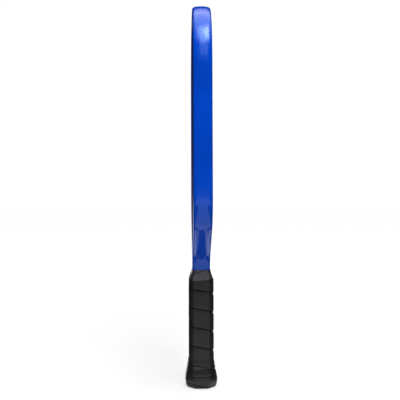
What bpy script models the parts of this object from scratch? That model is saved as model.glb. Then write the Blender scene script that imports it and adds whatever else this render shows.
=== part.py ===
"""Pickleball paddle, modelled piece by piece as it comes apart on a bench.

Frame: metres, +Z up along the handle to the top of the head, X across the width, Y through the
thickness with the front face at -Y.  The origin is the bottom centre of the butt end.

A sandwich panel (honeycomb, foam rim, bonding scrims and two face sheets) runs from the head down
into the handle as a tongue.  A U-shaped guard is taped round the head.  Two pallets make the tongue
into an octagonal handle, a moulded cap is stapled over their end, and a cushion grip is wound on top
and closed with a finishing tape.
"""
import math

import bmesh
import bpy

MM = 0.001

# ---- driving dimensions -------------------------------------------------------------------------
GAP = 0.3 * MM                      # glue line or clearance between neighbouring pieces

TOTAL_LENGTH = 406.4 * MM           # butt end to the top of the guard
HEAD_WIDTH = 200.0 * MM             # over the guard, at the widest
SIDE_TAPER = 4.0 * MM               # each side comes in by this much up to the top corner
TOP_CORNER_RADIUS = 75.0 * MM
CROWN_RADIUS = 250.0 * MM           # the top edge's own slight curve
CROWN_SLOPE = math.radians(5.0)     # fall of the top edge towards its corners
SIDE_RADIUS = 400.0 * MM            # blend from the tapering side to the widest stretch
WIDEST_STRETCH = 33.0 * MM          # straight side above the shoulder's virtual corner
SHOULDER_RADIUS = 38.0 * MM
SHOULDER_SLOPE = math.radians(30.4)
THROAT_RADIUS = 40.0 * MM           # hollow curve from the shoulder into the handle
THROAT_RISE = 6.7 * MM              # throat's virtual corner above the handle's top end

PANEL_THICKNESS = 16.0 * MM
FACE_THICKNESS = 0.6 * MM
SCRIM_THICKNESS = 0.25 * MM
FOAM_BAND = 7.0 * MM                # least width of the foam rim
CELL_PITCH = 13.0 * MM              # honeycomb, across flats
CELL_WALL = 0.7 * MM                # wall between two cells
TONGUE_JOINT = 5.0 * MM             # tongue's foam ends this far above the handle's top end

GUARD_BASE = 2.0 * MM               # wall on the panel's edge
GUARD_LIP = 1.05 * MM               # wall on each face
GUARD_OVERLAP = 5.5 * MM            # how far each lip covers the face
GUARD_EDGE_RADIUS = 3.2 * MM
GUARD_TAPE_THICKNESS = 0.4 * MM
GUARD_TAPE_MARGIN = 0.5 * MM        # tape is this much narrower than the panel, on each side
GUARD_TUCK = 5.3 * MM               # length of guard under the finishing tape

HANDLE_LENGTH = 127.3 * MM          # butt end to the finishing tape's top edge
HANDLE_WIDTH = 34.0 * MM            # over the grip
HANDLE_THICKNESS = 26.8 * MM        # over the grip
BROAD_FACET = 23.0 * MM             # octagon's facet along X, over the grip
NARROW_FACET_MARGIN = 1.2 * MM      # octagon's facet along Y stands this much past the panel
GRIP_THICKNESS = 1.45 * MM
GRIP_TUCK = 7.8 * MM                # length of finishing tape past the grip's top end
RAMP_LENGTH = 7.5 * MM              # handle thins down to the panel over this length

TAPE_THICKNESS = 0.3 * MM
TAPE_WIDTH = 12.6 * MM

FLARE = 3.85 * MM                   # butt stands out from the handle by this much
FLARE_PEAK = 8.8 * MM               # height of the widest place
FLARE_BASE_INSET = 4.5 * MM         # from the widest place in to the flat base
SKIRT_TOP = 26.0 * MM               # top edge of the cap
SKIRT_EDGE = 0.5 * MM               # cap wall at that edge
SKIRT_COVER = 4.5 * MM              # grip runs down to the handle over this length
BUTT_FACET_LOSS = 1.7 * MM          # butt's facets are this much shorter on each side of centre
CAP_FLOOR = 4.5 * MM
HEM_HEIGHT = 2.2 * MM               # bottom end of the grip
BADGE_WIDTH = 22.0 * MM
BADGE_HEIGHT = 16.0 * MM
BADGE_THICKNESS = 0.5 * MM
BADGE_SINK = 0.1 * MM               # badge lies this far inside the base plane

STAPLE_WIRE = 0.8 * MM
STAPLE_CROWN = 8.0 * MM
STAPLE_TIP_COVER = 1.0 * MM         # pallet left between a leg's tip and the panel
STAPLE_HEIGHT = 15.0 * MM
STAPLE_OFFSET = 5.2 * MM            # from the paddle's centre line

ARC_STEP = math.radians(6.0)
FLARE_STEPS = 6

# ---- what follows from them ---------------------------------------------------------------------
EDGE_STACK = GUARD_BASE + GAP + GUARD_TAPE_THICKNESS + GAP      # guard's outside to the panel's edge
FACE_OUTER = PANEL_THICKNESS / 2
FACE_INNER = FACE_OUTER - FACE_THICKNESS
SCRIM_OUTER = FACE_INNER - GAP
SCRIM_INNER = SCRIM_OUTER - SCRIM_THICKNESS
CORE_HALF = SCRIM_INNER - GAP
LIP_INNER = FACE_OUTER + GAP
LIP_OUTER = LIP_INNER + GUARD_LIP

WRAP = GRIP_THICKNESS + GAP                                     # grip's outside to what it covers
TONGUE_HALF = HANDLE_WIDTH / 2 - WRAP
NECK_HALF = TONGUE_HALF + EDGE_STACK
STACK_BOTTOM = CAP_FLOOR + GAP
GUARD_END = HANDLE_LENGTH - GUARD_TUCK
THROAT_HEIGHT = HANDLE_LENGTH + THROAT_RISE
SHOULDER_HEIGHT = THROAT_HEIGHT + (HEAD_WIDTH / 2 - NECK_HALF) * math.tan(SHOULDER_SLOPE)
CORE_BOTTOM = HANDLE_LENGTH + TONGUE_JOINT
GRIP_END = HANDLE_LENGTH - GRIP_TUCK
RAMP_START = GRIP_END - RAMP_LENGTH
TAPE_BOTTOM = HANDLE_LENGTH - TAPE_WIDTH


# ---- outlines -----------------------------------------------------------------------------------
def fillet_path(corners):
    """Points and outward normals along straight lines joined by tangent arcs.

    corners holds (x, z, radius); the first and last keep no arc.  The path turns clockwise round the
    paddle, so the outside is on its left.
    """
    path = []

    def direction(a, b):
        length = math.hypot(b[0] - a[0], b[1] - a[1])
        return (b[0] - a[0]) / length, (b[1] - a[1]) / length

    for index, (x, z, radius) in enumerate(corners):
        if index in (0, len(corners) - 1):
            neighbour = corners[1] if index == 0 else corners[-2]
            ends = ((x, z), neighbour) if index == 0 else (neighbour, (x, z))
            dx, dz = direction(*ends)
            path.append(((x, z), (-dz, dx)))
            continue
        inward = direction(corners[index - 1], (x, z))
        outward = direction((x, z), corners[index + 1])
        turn = math.atan2(inward[0] * outward[1] - inward[1] * outward[0],
                          inward[0] * outward[0] + inward[1] * outward[1])
        tangent = radius * math.tan(abs(turn) / 2)
        side = math.copysign(1.0, turn)
        start = (x - inward[0] * tangent, z - inward[1] * tangent)
        centre = (start[0] - side * inward[1] * radius, start[1] + side * inward[0] * radius)
        steps = max(2, math.ceil(abs(turn) / ARC_STEP))
        for step in range(steps + 1):
            angle = turn * step / steps
            dx = inward[0] * math.cos(angle) - inward[1] * math.sin(angle)
            dz = inward[0] * math.sin(angle) + inward[1] * math.cos(angle)
            point = (centre[0] + side * dz * radius, centre[1] - side * dx * radius)
            path.append((point, (-dz, dx)))
    return path


def guard_path(bottom):
    """Outside of the guard from the left of the handle over the head to the right, down to bottom."""
    half_top = HEAD_WIDTH / 2 - SIDE_TAPER
    apex = TOTAL_LENGTH + CROWN_RADIUS * (1 / math.cos(CROWN_SLOPE) - 1)
    right = [
        (half_top, apex - half_top * math.tan(CROWN_SLOPE), TOP_CORNER_RADIUS),
        (HEAD_WIDTH / 2, SHOULDER_HEIGHT + WIDEST_STRETCH, SIDE_RADIUS),
        (HEAD_WIDTH / 2, SHOULDER_HEIGHT, SHOULDER_RADIUS),
        (NECK_HALF, THROAT_HEIGHT, THROAT_RADIUS),
        (NECK_HALF, bottom, 0.0),
    ]
    left = [(-x, z, radius) for x, z, radius in reversed(right)]
    return fillet_path(left + [(0.0, apex, CROWN_RADIUS)] + right)


def inset_outline(inset, bottom):
    """The paddle's outline, inset from the guard's outside, as (x, z) points."""
    return [(x - nx * inset, z - nz * inset) for (x, z), (nx, nz) in guard_path(bottom)]


def above(points, height):
    """The stretch of an outline that starts and ends below height, cut off level there."""
    kept = []
    for (x0, z0), (x1, z1) in zip(points, points[1:]):
        if z0 >= height:
            kept.append((x0, z0))
        if (z0 >= height) != (z1 >= height):
            kept.append((x0 + (x1 - x0) * (height - z0) / (z1 - z0), height))
    return kept


def below(points, height):
    """The two ends of an outline that are under height, joined by a level edge there."""
    middle = len(points) // 2
    ends = []
    for stretch in (points[:middle], points[:middle - 1:-1]):
        end = [point for point in stretch if point[1] < height]
        (x0, z0), (x1, z1) = end[-1], stretch[len(end)]
        end.append((x0 + (x1 - x0) * (height - z0) / (z1 - z0), height))
        ends.append(end)
    return ends[0] + ends[1][::-1]


def guard_half_width(height):
    """Half the width over the guard at a height on the throat's curve or below it."""
    turn = math.pi / 2 - SHOULDER_SLOPE
    rise = max(0.0, height - THROAT_HEIGHT + THROAT_RADIUS * math.tan(turn / 2))
    return NECK_HALF + THROAT_RADIUS - math.sqrt(THROAT_RADIUS ** 2 - rise ** 2)


def octagon(half_x, half_y, facet_x, facet_y):
    """Corners of an octagon, anticlockwise seen from above; facet_x and facet_y are half-lengths."""
    quarter = [(half_x, facet_y), (facet_x, half_y)]
    upper = quarter + [(-x, y) for x, y in reversed(quarter)]
    return upper + [(-x, -y) for x, y in upper]


def inset_loop(loop, distance):
    """A closed anticlockwise loop with every edge moved inwards by distance."""
    moved = []
    for index, corner in enumerate(loop):
        before = loop[index - 1]
        after = loop[(index + 1) % len(loop)]
        normals = []
        for a, b in ((before, corner), (corner, after)):
            length = math.hypot(b[0] - a[0], b[1] - a[1])
            normals.append((-(b[1] - a[1]) / length, (b[0] - a[0]) / length))
        (ax, ay), (bx, by) = normals
        scale = distance / (1 + ax * bx + ay * by)
        moved.append((corner[0] + (ax + bx) * scale, corner[1] + (ay + by) * scale))
    return moved


# ---- handle sections ----------------------------------------------------------------------------
NARROW_FACET = FACE_OUTER + NARROW_FACET_MARGIN
SHAFT = octagon(HANDLE_WIDTH / 2, HANDLE_THICKNESS / 2, BROAD_FACET / 2, NARROW_FACET)
SKIRT_RISE = SKIRT_EDGE + GAP                                   # grip's step over the cap's edge


def butt_heights():
    """Heights of the sections the cap's wall and the grip over it are both drawn through."""
    below_peak = [HEM_HEIGHT + (FLARE_PEAK - HEM_HEIGHT) * step / 4 for step in range(4)]
    return below_peak + [FLARE_PEAK + (SKIRT_TOP - FLARE_PEAK) * step / FLARE_STEPS
                         for step in range(FLARE_STEPS + 1)]


def flare_at(height):
    """How far the wrapped butt stands out from the wrapped handle: an ellipse up to the widest place,
    half a cosine wave up to the cap's edge, then a straight fall to the handle."""
    if height <= FLARE_PEAK:
        drop = 1 - math.sqrt(1 - ((FLARE_PEAK - height) / FLARE_PEAK) ** 2)
        return FLARE - FLARE_BASE_INSET * drop
    if height <= SKIRT_TOP:
        wave = math.cos(math.pi * (height - FLARE_PEAK) / (SKIRT_TOP - FLARE_PEAK))
        return SKIRT_RISE + (FLARE - SKIRT_RISE) * (1 + wave) / 2
    return SKIRT_RISE * max(0.0, 1 - (height - SKIRT_TOP) / SKIRT_COVER)


def wrapped_section(height, inset=0.0):
    """The grip's outside at a height of the shaft or the butt, or a loop inset from it.

    Up to the step over the cap's edge the octagon grows evenly.  Further out its chamfers grow, and
    under the widest place it shrinks evenly to the base.
    """
    flare = flare_at(height)
    widest = flare if height > FLARE_PEAK else FLARE
    step = min(widest, SKIRT_RISE)
    growth = widest - step
    loss = BUTT_FACET_LOSS * growth / (FLARE - SKIRT_RISE)
    (half_x, facet_y), (facet_x, half_y) = inset_loop(SHAFT, -step)[:2]
    loop = octagon(half_x + growth, half_y + growth, facet_x - loss, facet_y - loss)
    return inset_loop(loop, widest - flare + inset)


def collar_section(height, half_y, inset=0.0):
    """A flat section with small chamfers, as wide as the panel and its wrap at a height."""
    half_x = guard_half_width(height) - EDGE_STACK + WRAP
    chamfer_x, chamfer_y = GRIP_THICKNESS, GRIP_THICKNESS * 0.8
    return inset_loop(octagon(half_x, half_y, half_x - chamfer_x, half_y - chamfer_y), inset)


# ---- mesh helpers -------------------------------------------------------------------------------
def material(name, colour, roughness, metallic=0.0):
    """A Principled material of one colour."""
    made = bpy.data.materials.new(name)
    made.use_nodes = True
    shader = made.node_tree.nodes["Principled BSDF"]
    shader.inputs["Base Color"].default_value = (*colour, 1.0)
    shader.inputs["Roughness"].default_value = roughness
    shader.inputs["Metallic"].default_value = metallic
    return made


def add_object(name, mesh_data, finish=None):
    """Close a bmesh into a named object whose faces point outwards."""
    bmesh.ops.recalc_face_normals(mesh_data, faces=mesh_data.faces)
    mesh = bpy.data.meshes.new(name)
    mesh_data.to_mesh(mesh)
    mesh_data.free()
    made = bpy.data.objects.new(name, mesh)
    bpy.context.scene.collection.objects.link(made)
    if finish:
        mesh.materials.append(finish)
    return made


def soften(made, angle=30.0):
    """Shade an object smooth, with its real edges kept sharp."""
    made.data.shade_smooth()
    made.data.set_sharp_from_angle(angle=math.radians(angle))
    return made


def extrude_faces(mesh_data, vector):
    """Turn a mesh's flat faces into a plate by extruding them along a vector."""
    grown = bmesh.ops.extrude_face_region(mesh_data, geom=mesh_data.faces[:])
    corners = [part for part in grown["geom"] if isinstance(part, bmesh.types.BMVert)]
    bmesh.ops.translate(mesh_data, verts=corners, vec=vector)


def plate(name, outline, low_y, high_y, finish):
    """A flat plate of an (x, z) outline between two places along Y."""
    mesh_data = bmesh.new()
    mesh_data.faces.new([mesh_data.verts.new((x, low_y, z)) for x, z in outline])
    extrude_faces(mesh_data, (0.0, high_y - low_y, 0.0))
    return add_object(name, mesh_data, finish)


def loft(name, loops, finish, closed=False):
    """A skin through loops of (x, y, z) points with equal counts.

    An open loft gets a face over its first and last loop; a closed one joins its last loop to its
    first, which makes a tube with a wall.  Each four-sided patch is split along the diagonal that
    climbs the same way, so that a sleeve and what it covers stay parallel.
    """
    mesh_data = bmesh.new()
    rows = [[mesh_data.verts.new(point) for point in loop] for loop in loops]
    pairs = list(zip(rows, rows[1:]))
    if closed:
        pairs.append((rows[-1], rows[0]))
    else:
        mesh_data.faces.new(rows[0])
        mesh_data.faces.new(rows[-1])
    count = len(rows[0])
    for low, high in pairs:
        for index in range(count):
            after = (index + 1) % count
            patch = [low[index], low[after], high[after], high[index]]
            if low[index].co.z > high[index].co.z:
                patch = patch[1:] + patch[:1]
            mesh_data.faces.new(patch[:3])
            mesh_data.faces.new([patch[0], patch[2], patch[3]])
    return add_object(name, mesh_data, finish)


def level(loop, height):
    """A loop of (x, y) points at a height."""
    return [(x, y, height) for x, y in loop]


def cut(made, cutter):
    """Take a cutter's shape out of an object."""
    modifier = made.modifiers.new("cut_" + cutter.name, "BOOLEAN")
    modifier.operation = "DIFFERENCE"
    modifier.solver = "EXACT"
    modifier.object = cutter


# ---- panel --------------------------------------------------------------------------------------
def inside(point, polygon):
    """Whether a point lies in a closed polygon, by counting the edges to its right."""
    x, z = point
    crossings = 0
    for (x0, z0), (x1, z1) in zip(polygon, polygon[1:] + polygon[:1]):
        if (z0 > z) != (z1 > z) and x < x0 + (x1 - x0) * (z - z0) / (z1 - z0):
            crossings += 1
    return crossings % 2 == 1


def cell_centre(cell):
    """Place of a honeycomb cell; rows run across the head from its middle."""
    column, row = cell
    middle = (CORE_BOTTOM + TOTAL_LENGTH) / 2
    return (column + (row % 2) / 2) * CELL_PITCH, middle + row * CELL_PITCH * math.sqrt(3) / 2


def cell_corners(cell, pitch):
    """The six corners of a cell, anticlockwise from the top one."""
    x, z = cell_centre(cell)
    radius = pitch / math.sqrt(3)
    angles = [math.radians(90 + 60 * corner) for corner in range(6)]
    return [(x + radius * math.cos(angle), z + radius * math.sin(angle)) for angle in angles]


def neighbours(cell):
    """The cells beyond a cell's six sides, in the order of its corners."""
    column, row = cell
    shift = row % 2
    return [(column - 1 + shift, row + 1), (column - 1, row), (column - 1 + shift, row - 1),
            (column + shift, row - 1), (column + 1, row), (column + shift, row + 1)]


def honeycomb_cells():
    """Whole cells that clear the foam rim, those joined to the middle one."""
    rim = above(inset_outline(EDGE_STACK + FOAM_BAND, GUARD_END), CORE_BOTTOM + FOAM_BAND)
    kept = set()
    waiting = [(0, 0)]
    while waiting:
        cell = waiting.pop()
        if cell in kept or not all(inside(corner, rim) for corner in cell_corners(cell, CELL_PITCH)):
            continue
        kept.add(cell)
        waiting.extend(neighbours(cell))
    return sorted(kept)


def corner_key(cell, corner):
    """One name for a lattice corner, whichever of its cells asks."""
    column, row = cell
    across = 2 * column + row % 2
    steps = [(0, 2), (-1, 1), (-1, -1), (0, -2), (1, -1), (1, 1)]
    return across + steps[corner % 6][0], 3 * row + steps[corner % 6][1]


def honeycomb_border(cells):
    """Anticlockwise loop of lattice corners round the cells, as (x, z) points."""
    present = set(cells)
    follows = {}
    places = {}
    for cell in cells:
        corners = cell_corners(cell, CELL_PITCH)
        for side, other in enumerate(neighbours(cell)):
            if other not in present:
                start, end = corner_key(cell, side), corner_key(cell, side + 1)
                follows[start] = end
                places[start] = corners[side]
    key = first = min(follows)
    border = []
    while not border or key != first:
        border.append(places[key])
        key = follows[key]
    return border


def make_honeycomb(cells, finish):
    """Hexagonal tubes that share their walls, open at both faces."""
    mesh_data = bmesh.new()
    lattice = {}

    def lattice_corner(key, point, y):
        if (key, y) not in lattice:
            lattice[key, y] = mesh_data.verts.new((point[0], y, point[1]))
        return lattice[key, y]

    present = set(cells)
    for cell in cells:
        outer = cell_corners(cell, CELL_PITCH)
        inner = cell_corners(cell, CELL_PITCH - CELL_WALL)
        rings = {}
        for y in (-CORE_HALF, CORE_HALF):
            shared = [lattice_corner(corner_key(cell, i), outer[i], y) for i in range(6)]
            bore = [mesh_data.verts.new((x, y, z)) for x, z in inner]
            rings[y] = shared, bore
            for i in range(6):
                after = (i + 1) % 6
                mesh_data.faces.new((shared[i], shared[after], bore[after], bore[i]))
        (front, front_bore), (back, back_bore) = rings[-CORE_HALF], rings[CORE_HALF]
        for i, other in enumerate(neighbours(cell)):
            after = (i + 1) % 6
            mesh_data.faces.new((front_bore[i], front_bore[after], back_bore[after], back_bore[i]))
            if other not in present:
                mesh_data.faces.new((front[i], front[after], back[after], back[i]))
    return add_object("honeycomb_core", mesh_data, finish)


def make_foam_rim(cells, finish):
    """Foam between the honeycomb's stepped border and the panel's edge."""
    outer = above(inset_outline(EDGE_STACK, GUARD_END), CORE_BOTTOM)
    inner = inset_loop(honeycomb_border(cells), -GAP)
    mesh_data = bmesh.new()
    for outline in (outer, inner):
        corners = [mesh_data.verts.new((x, -CORE_HALF, z)) for x, z in outline]
        for a, b in zip(corners, corners[1:] + corners[:1]):
            mesh_data.edges.new((a, b))
    bmesh.ops.triangle_fill(mesh_data, edges=mesh_data.edges[:], use_beauty=True, normal=(0.0, 1.0, 0.0))
    extrude_faces(mesh_data, (0.0, 2 * CORE_HALF, 0.0))
    return add_object("perimeter_foam", mesh_data, finish)


def make_panel():
    """Core, scrims, tongue and face sheets."""
    honeycomb_finish = material("honeycomb_plastic", (0.72, 0.74, 0.76), 0.5)
    foam_finish = material("rim_foam", (0.80, 0.76, 0.66), 0.9)
    scrim_finish = material("scrim_veil", (0.85, 0.85, 0.83), 0.9)
    tongue_finish = material("tongue_foam", (0.78, 0.72, 0.58), 0.9)
    face_finish = material("carbon_face", (0.018, 0.018, 0.020), 0.55)

    cells = honeycomb_cells()
    make_honeycomb(cells, honeycomb_finish)
    make_foam_rim(cells, foam_finish)

    panel = inset_outline(EDGE_STACK, STACK_BOTTOM)
    tongue = below(panel, CORE_BOTTOM - GAP)
    plate("handle_core", tongue, -SCRIM_OUTER, SCRIM_OUTER, tongue_finish)
    head = above(inset_outline(EDGE_STACK, GUARD_END), CORE_BOTTOM)
    for side, name in ((-1, "front"), (1, "back")):
        plate(name + "_core_scrim", head, side * SCRIM_INNER, side * SCRIM_OUTER, scrim_finish)
        plate(name + "_face_sheet", panel, side * FACE_INNER, side * FACE_OUTER, face_finish)


# ---- edge guard ---------------------------------------------------------------------------------
def sweep_round_head(name, section, finish):
    """Carry a section of (inset, y) points round the head and cut it level at the guard's ends."""
    loops = []
    for (x, z), (nx, nz) in guard_path(CAP_FLOOR):
        loops.append([(x - nx * inset, y, z - nz * inset) for inset, y in section])
    made = loft(name, loops, finish)
    mesh_data = bmesh.new()
    mesh_data.from_mesh(made.data)
    everything = mesh_data.verts[:] + mesh_data.edges[:] + mesh_data.faces[:]
    trimmed = bmesh.ops.bisect_plane(mesh_data, geom=everything, plane_co=(0.0, 0.0, GUARD_END),
                                     plane_no=(0.0, 0.0, 1.0), clear_inner=True)
    rim = [part for part in trimmed["geom_cut"] if isinstance(part, bmesh.types.BMEdge)]
    bmesh.ops.holes_fill(mesh_data, edges=rim)
    bmesh.ops.recalc_face_normals(mesh_data, faces=mesh_data.faces)
    mesh_data.to_mesh(made.data)
    mesh_data.free()
    return made


def make_guard():
    """The U-shaped guard and the tape strip that holds it on the panel's edge."""
    blue = material("guard_blue", (0.0, 0.05, 0.51), 0.22)
    tape = material("guard_tape_white", (0.75, 0.75, 0.72), 0.8)

    lip_end = EDGE_STACK + GUARD_OVERLAP
    lip_bevel = GUARD_LIP / 3
    corner = []
    for degrees in range(0, 91, 18):
        angle = math.radians(degrees)
        corner.append((GUARD_EDGE_RADIUS * (1 - math.sin(angle)),
                       LIP_OUTER - GUARD_EDGE_RADIUS * (1 - math.cos(angle))))
    half = [(GUARD_BASE, LIP_INNER), (lip_end, LIP_INNER), (lip_end, LIP_OUTER - lip_bevel),
            (lip_end - lip_bevel, LIP_OUTER)] + corner
    section = half + [(inset, -y) for inset, y in reversed(half)]
    soften(sweep_round_head("edge_guard", section, blue), 40.0)

    outer = GUARD_BASE + GAP
    inner = outer + GUARD_TAPE_THICKNESS
    half_width = FACE_OUTER - GUARD_TAPE_MARGIN
    strip = [(inner, -half_width), (inner, half_width), (outer, half_width), (outer, -half_width)]
    sweep_round_head("edge_guard_tape", strip, tape)


# ---- handle -------------------------------------------------------------------------------------
def make_staple(index, x, side, finish):
    """One U-shaped staple and its hidden cutter; returns the cutter."""
    surface = HANDLE_THICKNESS / 2 + flare_at(STAPLE_HEIGHT) - WRAP
    crown_top = surface - GAP
    tip = LIP_INNER + STAPLE_TIP_COVER
    half = STAPLE_CROWN / 2

    def outline(grow, top):
        """U shape, grown all round; top is where its crown ends outwards."""
        low = tip - grow
        bridge = crown_top - STAPLE_WIRE - grow
        leg = half - STAPLE_WIRE - grow
        return [(-half - grow, low), (-half - grow, top), (half + grow, top), (half + grow, low),
                (leg, low), (leg, bridge), (-leg, bridge), (-leg, low)]

    def build(name, grow, top, look):
        tall = STAPLE_WIRE / 2 + grow
        floor = STAPLE_HEIGHT - tall
        ring = [(x + px, side * py, floor) for px, py in outline(grow, top)]
        mesh_data = bmesh.new()
        mesh_data.faces.new([mesh_data.verts.new(point) for point in ring])
        extrude_faces(mesh_data, (0.0, 0.0, 2 * tall))
        return add_object(name, mesh_data, look)

    build("cap_staple_" + str(index), 0.0, crown_top, finish)
    cutter = build("staple_cutter_" + str(index), GAP, surface + STAPLE_CROWN, None)
    cutter.hide_render = True
    cutter.display_type = "WIRE"
    return cutter


def make_pallet(name, side, finish):
    """Half of the octagon, glued on one face of the tongue and thinned to a blade at its top."""
    foot = LIP_INNER
    shaft = inset_loop(SHAFT, WRAP)
    top = collar_section(GRIP_END, pallet_tip() + WRAP, WRAP)
    loops = []
    for height, loop in ((STACK_BOTTOM, shaft), (RAMP_START, shaft), (GRIP_END, top)):
        (half_x, facet_y), (facet_x, crest) = loop[:2]
        share = max(0.0, (foot - facet_y) / (crest - facet_y))
        foot_x = min(TONGUE_HALF, half_x + (facet_x - half_x) * share)
        crest_x = min(facet_x, foot_x)
        loops.append([(foot_x, side * foot, height), (crest_x, side * crest, height),
                      (-crest_x, side * crest, height), (-foot_x, side * foot, height)])
    return loft(name, loops, finish)


def pallet_tip():
    """Height along Y of a pallet's thin top end."""
    return LIP_INNER + 2 * GAP


def make_cap(finish):
    """Moulded cap: a recess for the badge, a flat base, the flared wall and a straight socket."""
    recess_depth = BADGE_SINK + BADGE_THICKNESS + GAP
    recess = badge_outline(0.0)
    socket = inset_loop(SHAFT, GRIP_THICKNESS)
    ledge = HEM_HEIGHT - GAP
    loops = [level(recess, recess_depth), level(recess, 0.0)]
    for step in range(4):
        height = ledge * (step / 3) ** 2
        loops.append(level(wrapped_section(height), height))
    for height in [ledge] + butt_heights():
        loops.append(level(wrapped_section(height, WRAP), height))
    loops += [level(socket, SKIRT_TOP), level(socket, CAP_FLOOR)]
    return loft("butt_cap", loops, finish)


def badge_outline(inset):
    """Outline of the badge's recess, or of the badge inset in it."""
    half_x, half_y = BADGE_WIDTH / 2, BADGE_HEIGHT / 2
    return inset_loop(octagon(half_x, half_y, half_x * 0.6, half_y * 0.6), inset)


def make_handle():
    """Pallets, cap, badge and staples."""
    pallet_finish = material("pallet_foam", (0.10, 0.10, 0.11), 0.8)
    cap_finish = material("cap_plastic", (0.020, 0.020, 0.022), 0.45)
    badge_finish = material("badge_plastic", (0.035, 0.035, 0.038), 0.3)
    staple_finish = material("staple_steel", (0.62, 0.62, 0.64), 0.3, 1.0)

    pallets = {-1: make_pallet("front_handle_pallet", -1, pallet_finish),
               1: make_pallet("back_handle_pallet", 1, pallet_finish)}
    cap = make_cap(cap_finish)
    badge = badge_outline(GAP)
    loft("end_badge", [level(badge, BADGE_SINK), level(badge, BADGE_SINK + BADGE_THICKNESS)], badge_finish)
    places = [(x, side) for side in (-1, 1) for x in (-STAPLE_OFFSET, STAPLE_OFFSET)]
    for index, (x, side) in enumerate(places, start=1):
        cutter = make_staple(index, x, side, staple_finish)
        cut(cap, cutter)
        cut(pallets[side], cutter)


# ---- grip ---------------------------------------------------------------------------------------
def tube(name, stations, thickness, finish):
    """A sleeve whose outside is given by (height, loop) stations, of even thickness."""
    outside = [level(loop, height) for height, loop in stations]
    lining = [level(inset_loop(loop, thickness), height) for height, loop in reversed(stations)]
    return loft(name, outside + lining, finish, closed=True)


def make_grip():
    """Cushion grip over the handle and the finishing tape that closes it."""
    grip_finish = material("grip_black", (0.026, 0.024, 0.027), 0.7)
    tape_finish = material("tape_black", (0.035, 0.037, 0.043), 0.45)

    heights = butt_heights() + [SKIRT_TOP + SKIRT_COVER, RAMP_START]
    stations = [(height, wrapped_section(height)) for height in heights]
    tip = pallet_tip() + WRAP
    stations.append((GRIP_END, collar_section(GRIP_END, tip)))
    soften(tube("cushion_grip", stations, GRIP_THICKNESS, grip_finish), 60.0)

    reach = GAP + TAPE_THICKNESS
    shaft = wrapped_section(RAMP_START)
    ramp = (TAPE_BOTTOM - RAMP_START) / RAMP_LENGTH
    collar = collar_section(GRIP_END, tip)
    foot = [(a[0] + (b[0] - a[0]) * ramp, a[1] + (b[1] - a[1]) * ramp) for a, b in zip(shaft, collar)]
    stations = [(TAPE_BOTTOM, inset_loop(foot, -reach)), (GRIP_END, inset_loop(collar, -reach))]
    for height in (GUARD_END - GAP, (GUARD_END + HANDLE_LENGTH) / 2, HANDLE_LENGTH):
        half_x = guard_half_width(height) + reach
        half_y = LIP_OUTER + reach
        stations.append((height, octagon(half_x, half_y, half_x - GRIP_THICKNESS, half_y - GRIP_THICKNESS)))
    soften(tube("finishing_tape", stations, TAPE_THICKNESS, tape_finish), 60.0)


# ---- build --------------------------------------------------------------------------------------
for existing in list(bpy.data.objects):
    bpy.data.objects.remove(existing, do_unlink=True)

make_panel()
make_guard()
make_handle()
make_grip()
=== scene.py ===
"""Pickleball paddle: the looks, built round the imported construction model.

Everything is in metres in the row frame: +Z up the handle, X across the head, the front face at -Y.
The guard, grip, finishing tape, cap and badge are new surfaces.  The faces and the inner pieces are
the construction model's own, with procedural finishes.
"""
import math

import bmesh
import bpy
import numpy as np
from mathutils import Matrix, Vector


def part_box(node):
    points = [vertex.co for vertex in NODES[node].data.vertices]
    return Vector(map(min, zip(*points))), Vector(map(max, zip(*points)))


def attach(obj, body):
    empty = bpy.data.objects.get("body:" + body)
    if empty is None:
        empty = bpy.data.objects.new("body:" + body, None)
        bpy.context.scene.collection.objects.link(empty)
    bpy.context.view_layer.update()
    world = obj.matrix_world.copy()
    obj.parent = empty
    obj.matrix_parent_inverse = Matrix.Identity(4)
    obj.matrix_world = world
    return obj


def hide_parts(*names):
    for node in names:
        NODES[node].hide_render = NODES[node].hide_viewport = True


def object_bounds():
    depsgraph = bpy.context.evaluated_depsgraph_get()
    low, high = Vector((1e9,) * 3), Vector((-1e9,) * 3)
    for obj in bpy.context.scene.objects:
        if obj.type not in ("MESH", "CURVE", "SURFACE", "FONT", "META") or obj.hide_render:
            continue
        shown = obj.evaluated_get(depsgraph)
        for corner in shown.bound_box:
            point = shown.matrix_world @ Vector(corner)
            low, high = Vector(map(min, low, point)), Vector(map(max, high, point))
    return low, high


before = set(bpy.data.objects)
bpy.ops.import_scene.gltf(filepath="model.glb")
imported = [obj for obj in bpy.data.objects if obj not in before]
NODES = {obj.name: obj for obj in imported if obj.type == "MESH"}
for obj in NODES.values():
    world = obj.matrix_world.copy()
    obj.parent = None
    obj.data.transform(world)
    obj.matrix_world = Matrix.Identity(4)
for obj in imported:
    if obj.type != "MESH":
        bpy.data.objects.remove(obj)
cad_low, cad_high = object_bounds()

bl_info = {
    "name": "Pickleball Paddle Looks",
    "version": (1, 0, 0),
    "blender": (4, 5, 0),
    "location": "3D View > Sidebar > Paddle",
    "description": "Builds the guard, grip, tape, cap, finishes and studio of a pickleball paddle",
    "category": "Object",
}

MM = 0.001

# ---- places read from the construction model ----------------------------------------------------
GUARD_LOW, GUARD_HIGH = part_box("edge_guard")
GRIP_LOW, GRIP_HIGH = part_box("cushion_grip")
TAPE_LOW, TAPE_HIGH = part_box("finishing_tape")
CAP_LOW, CAP_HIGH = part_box("butt_cap")
BADGE_LOW, BADGE_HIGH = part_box("end_badge")
FACE_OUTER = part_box("back_face_sheet")[1].y

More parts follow.
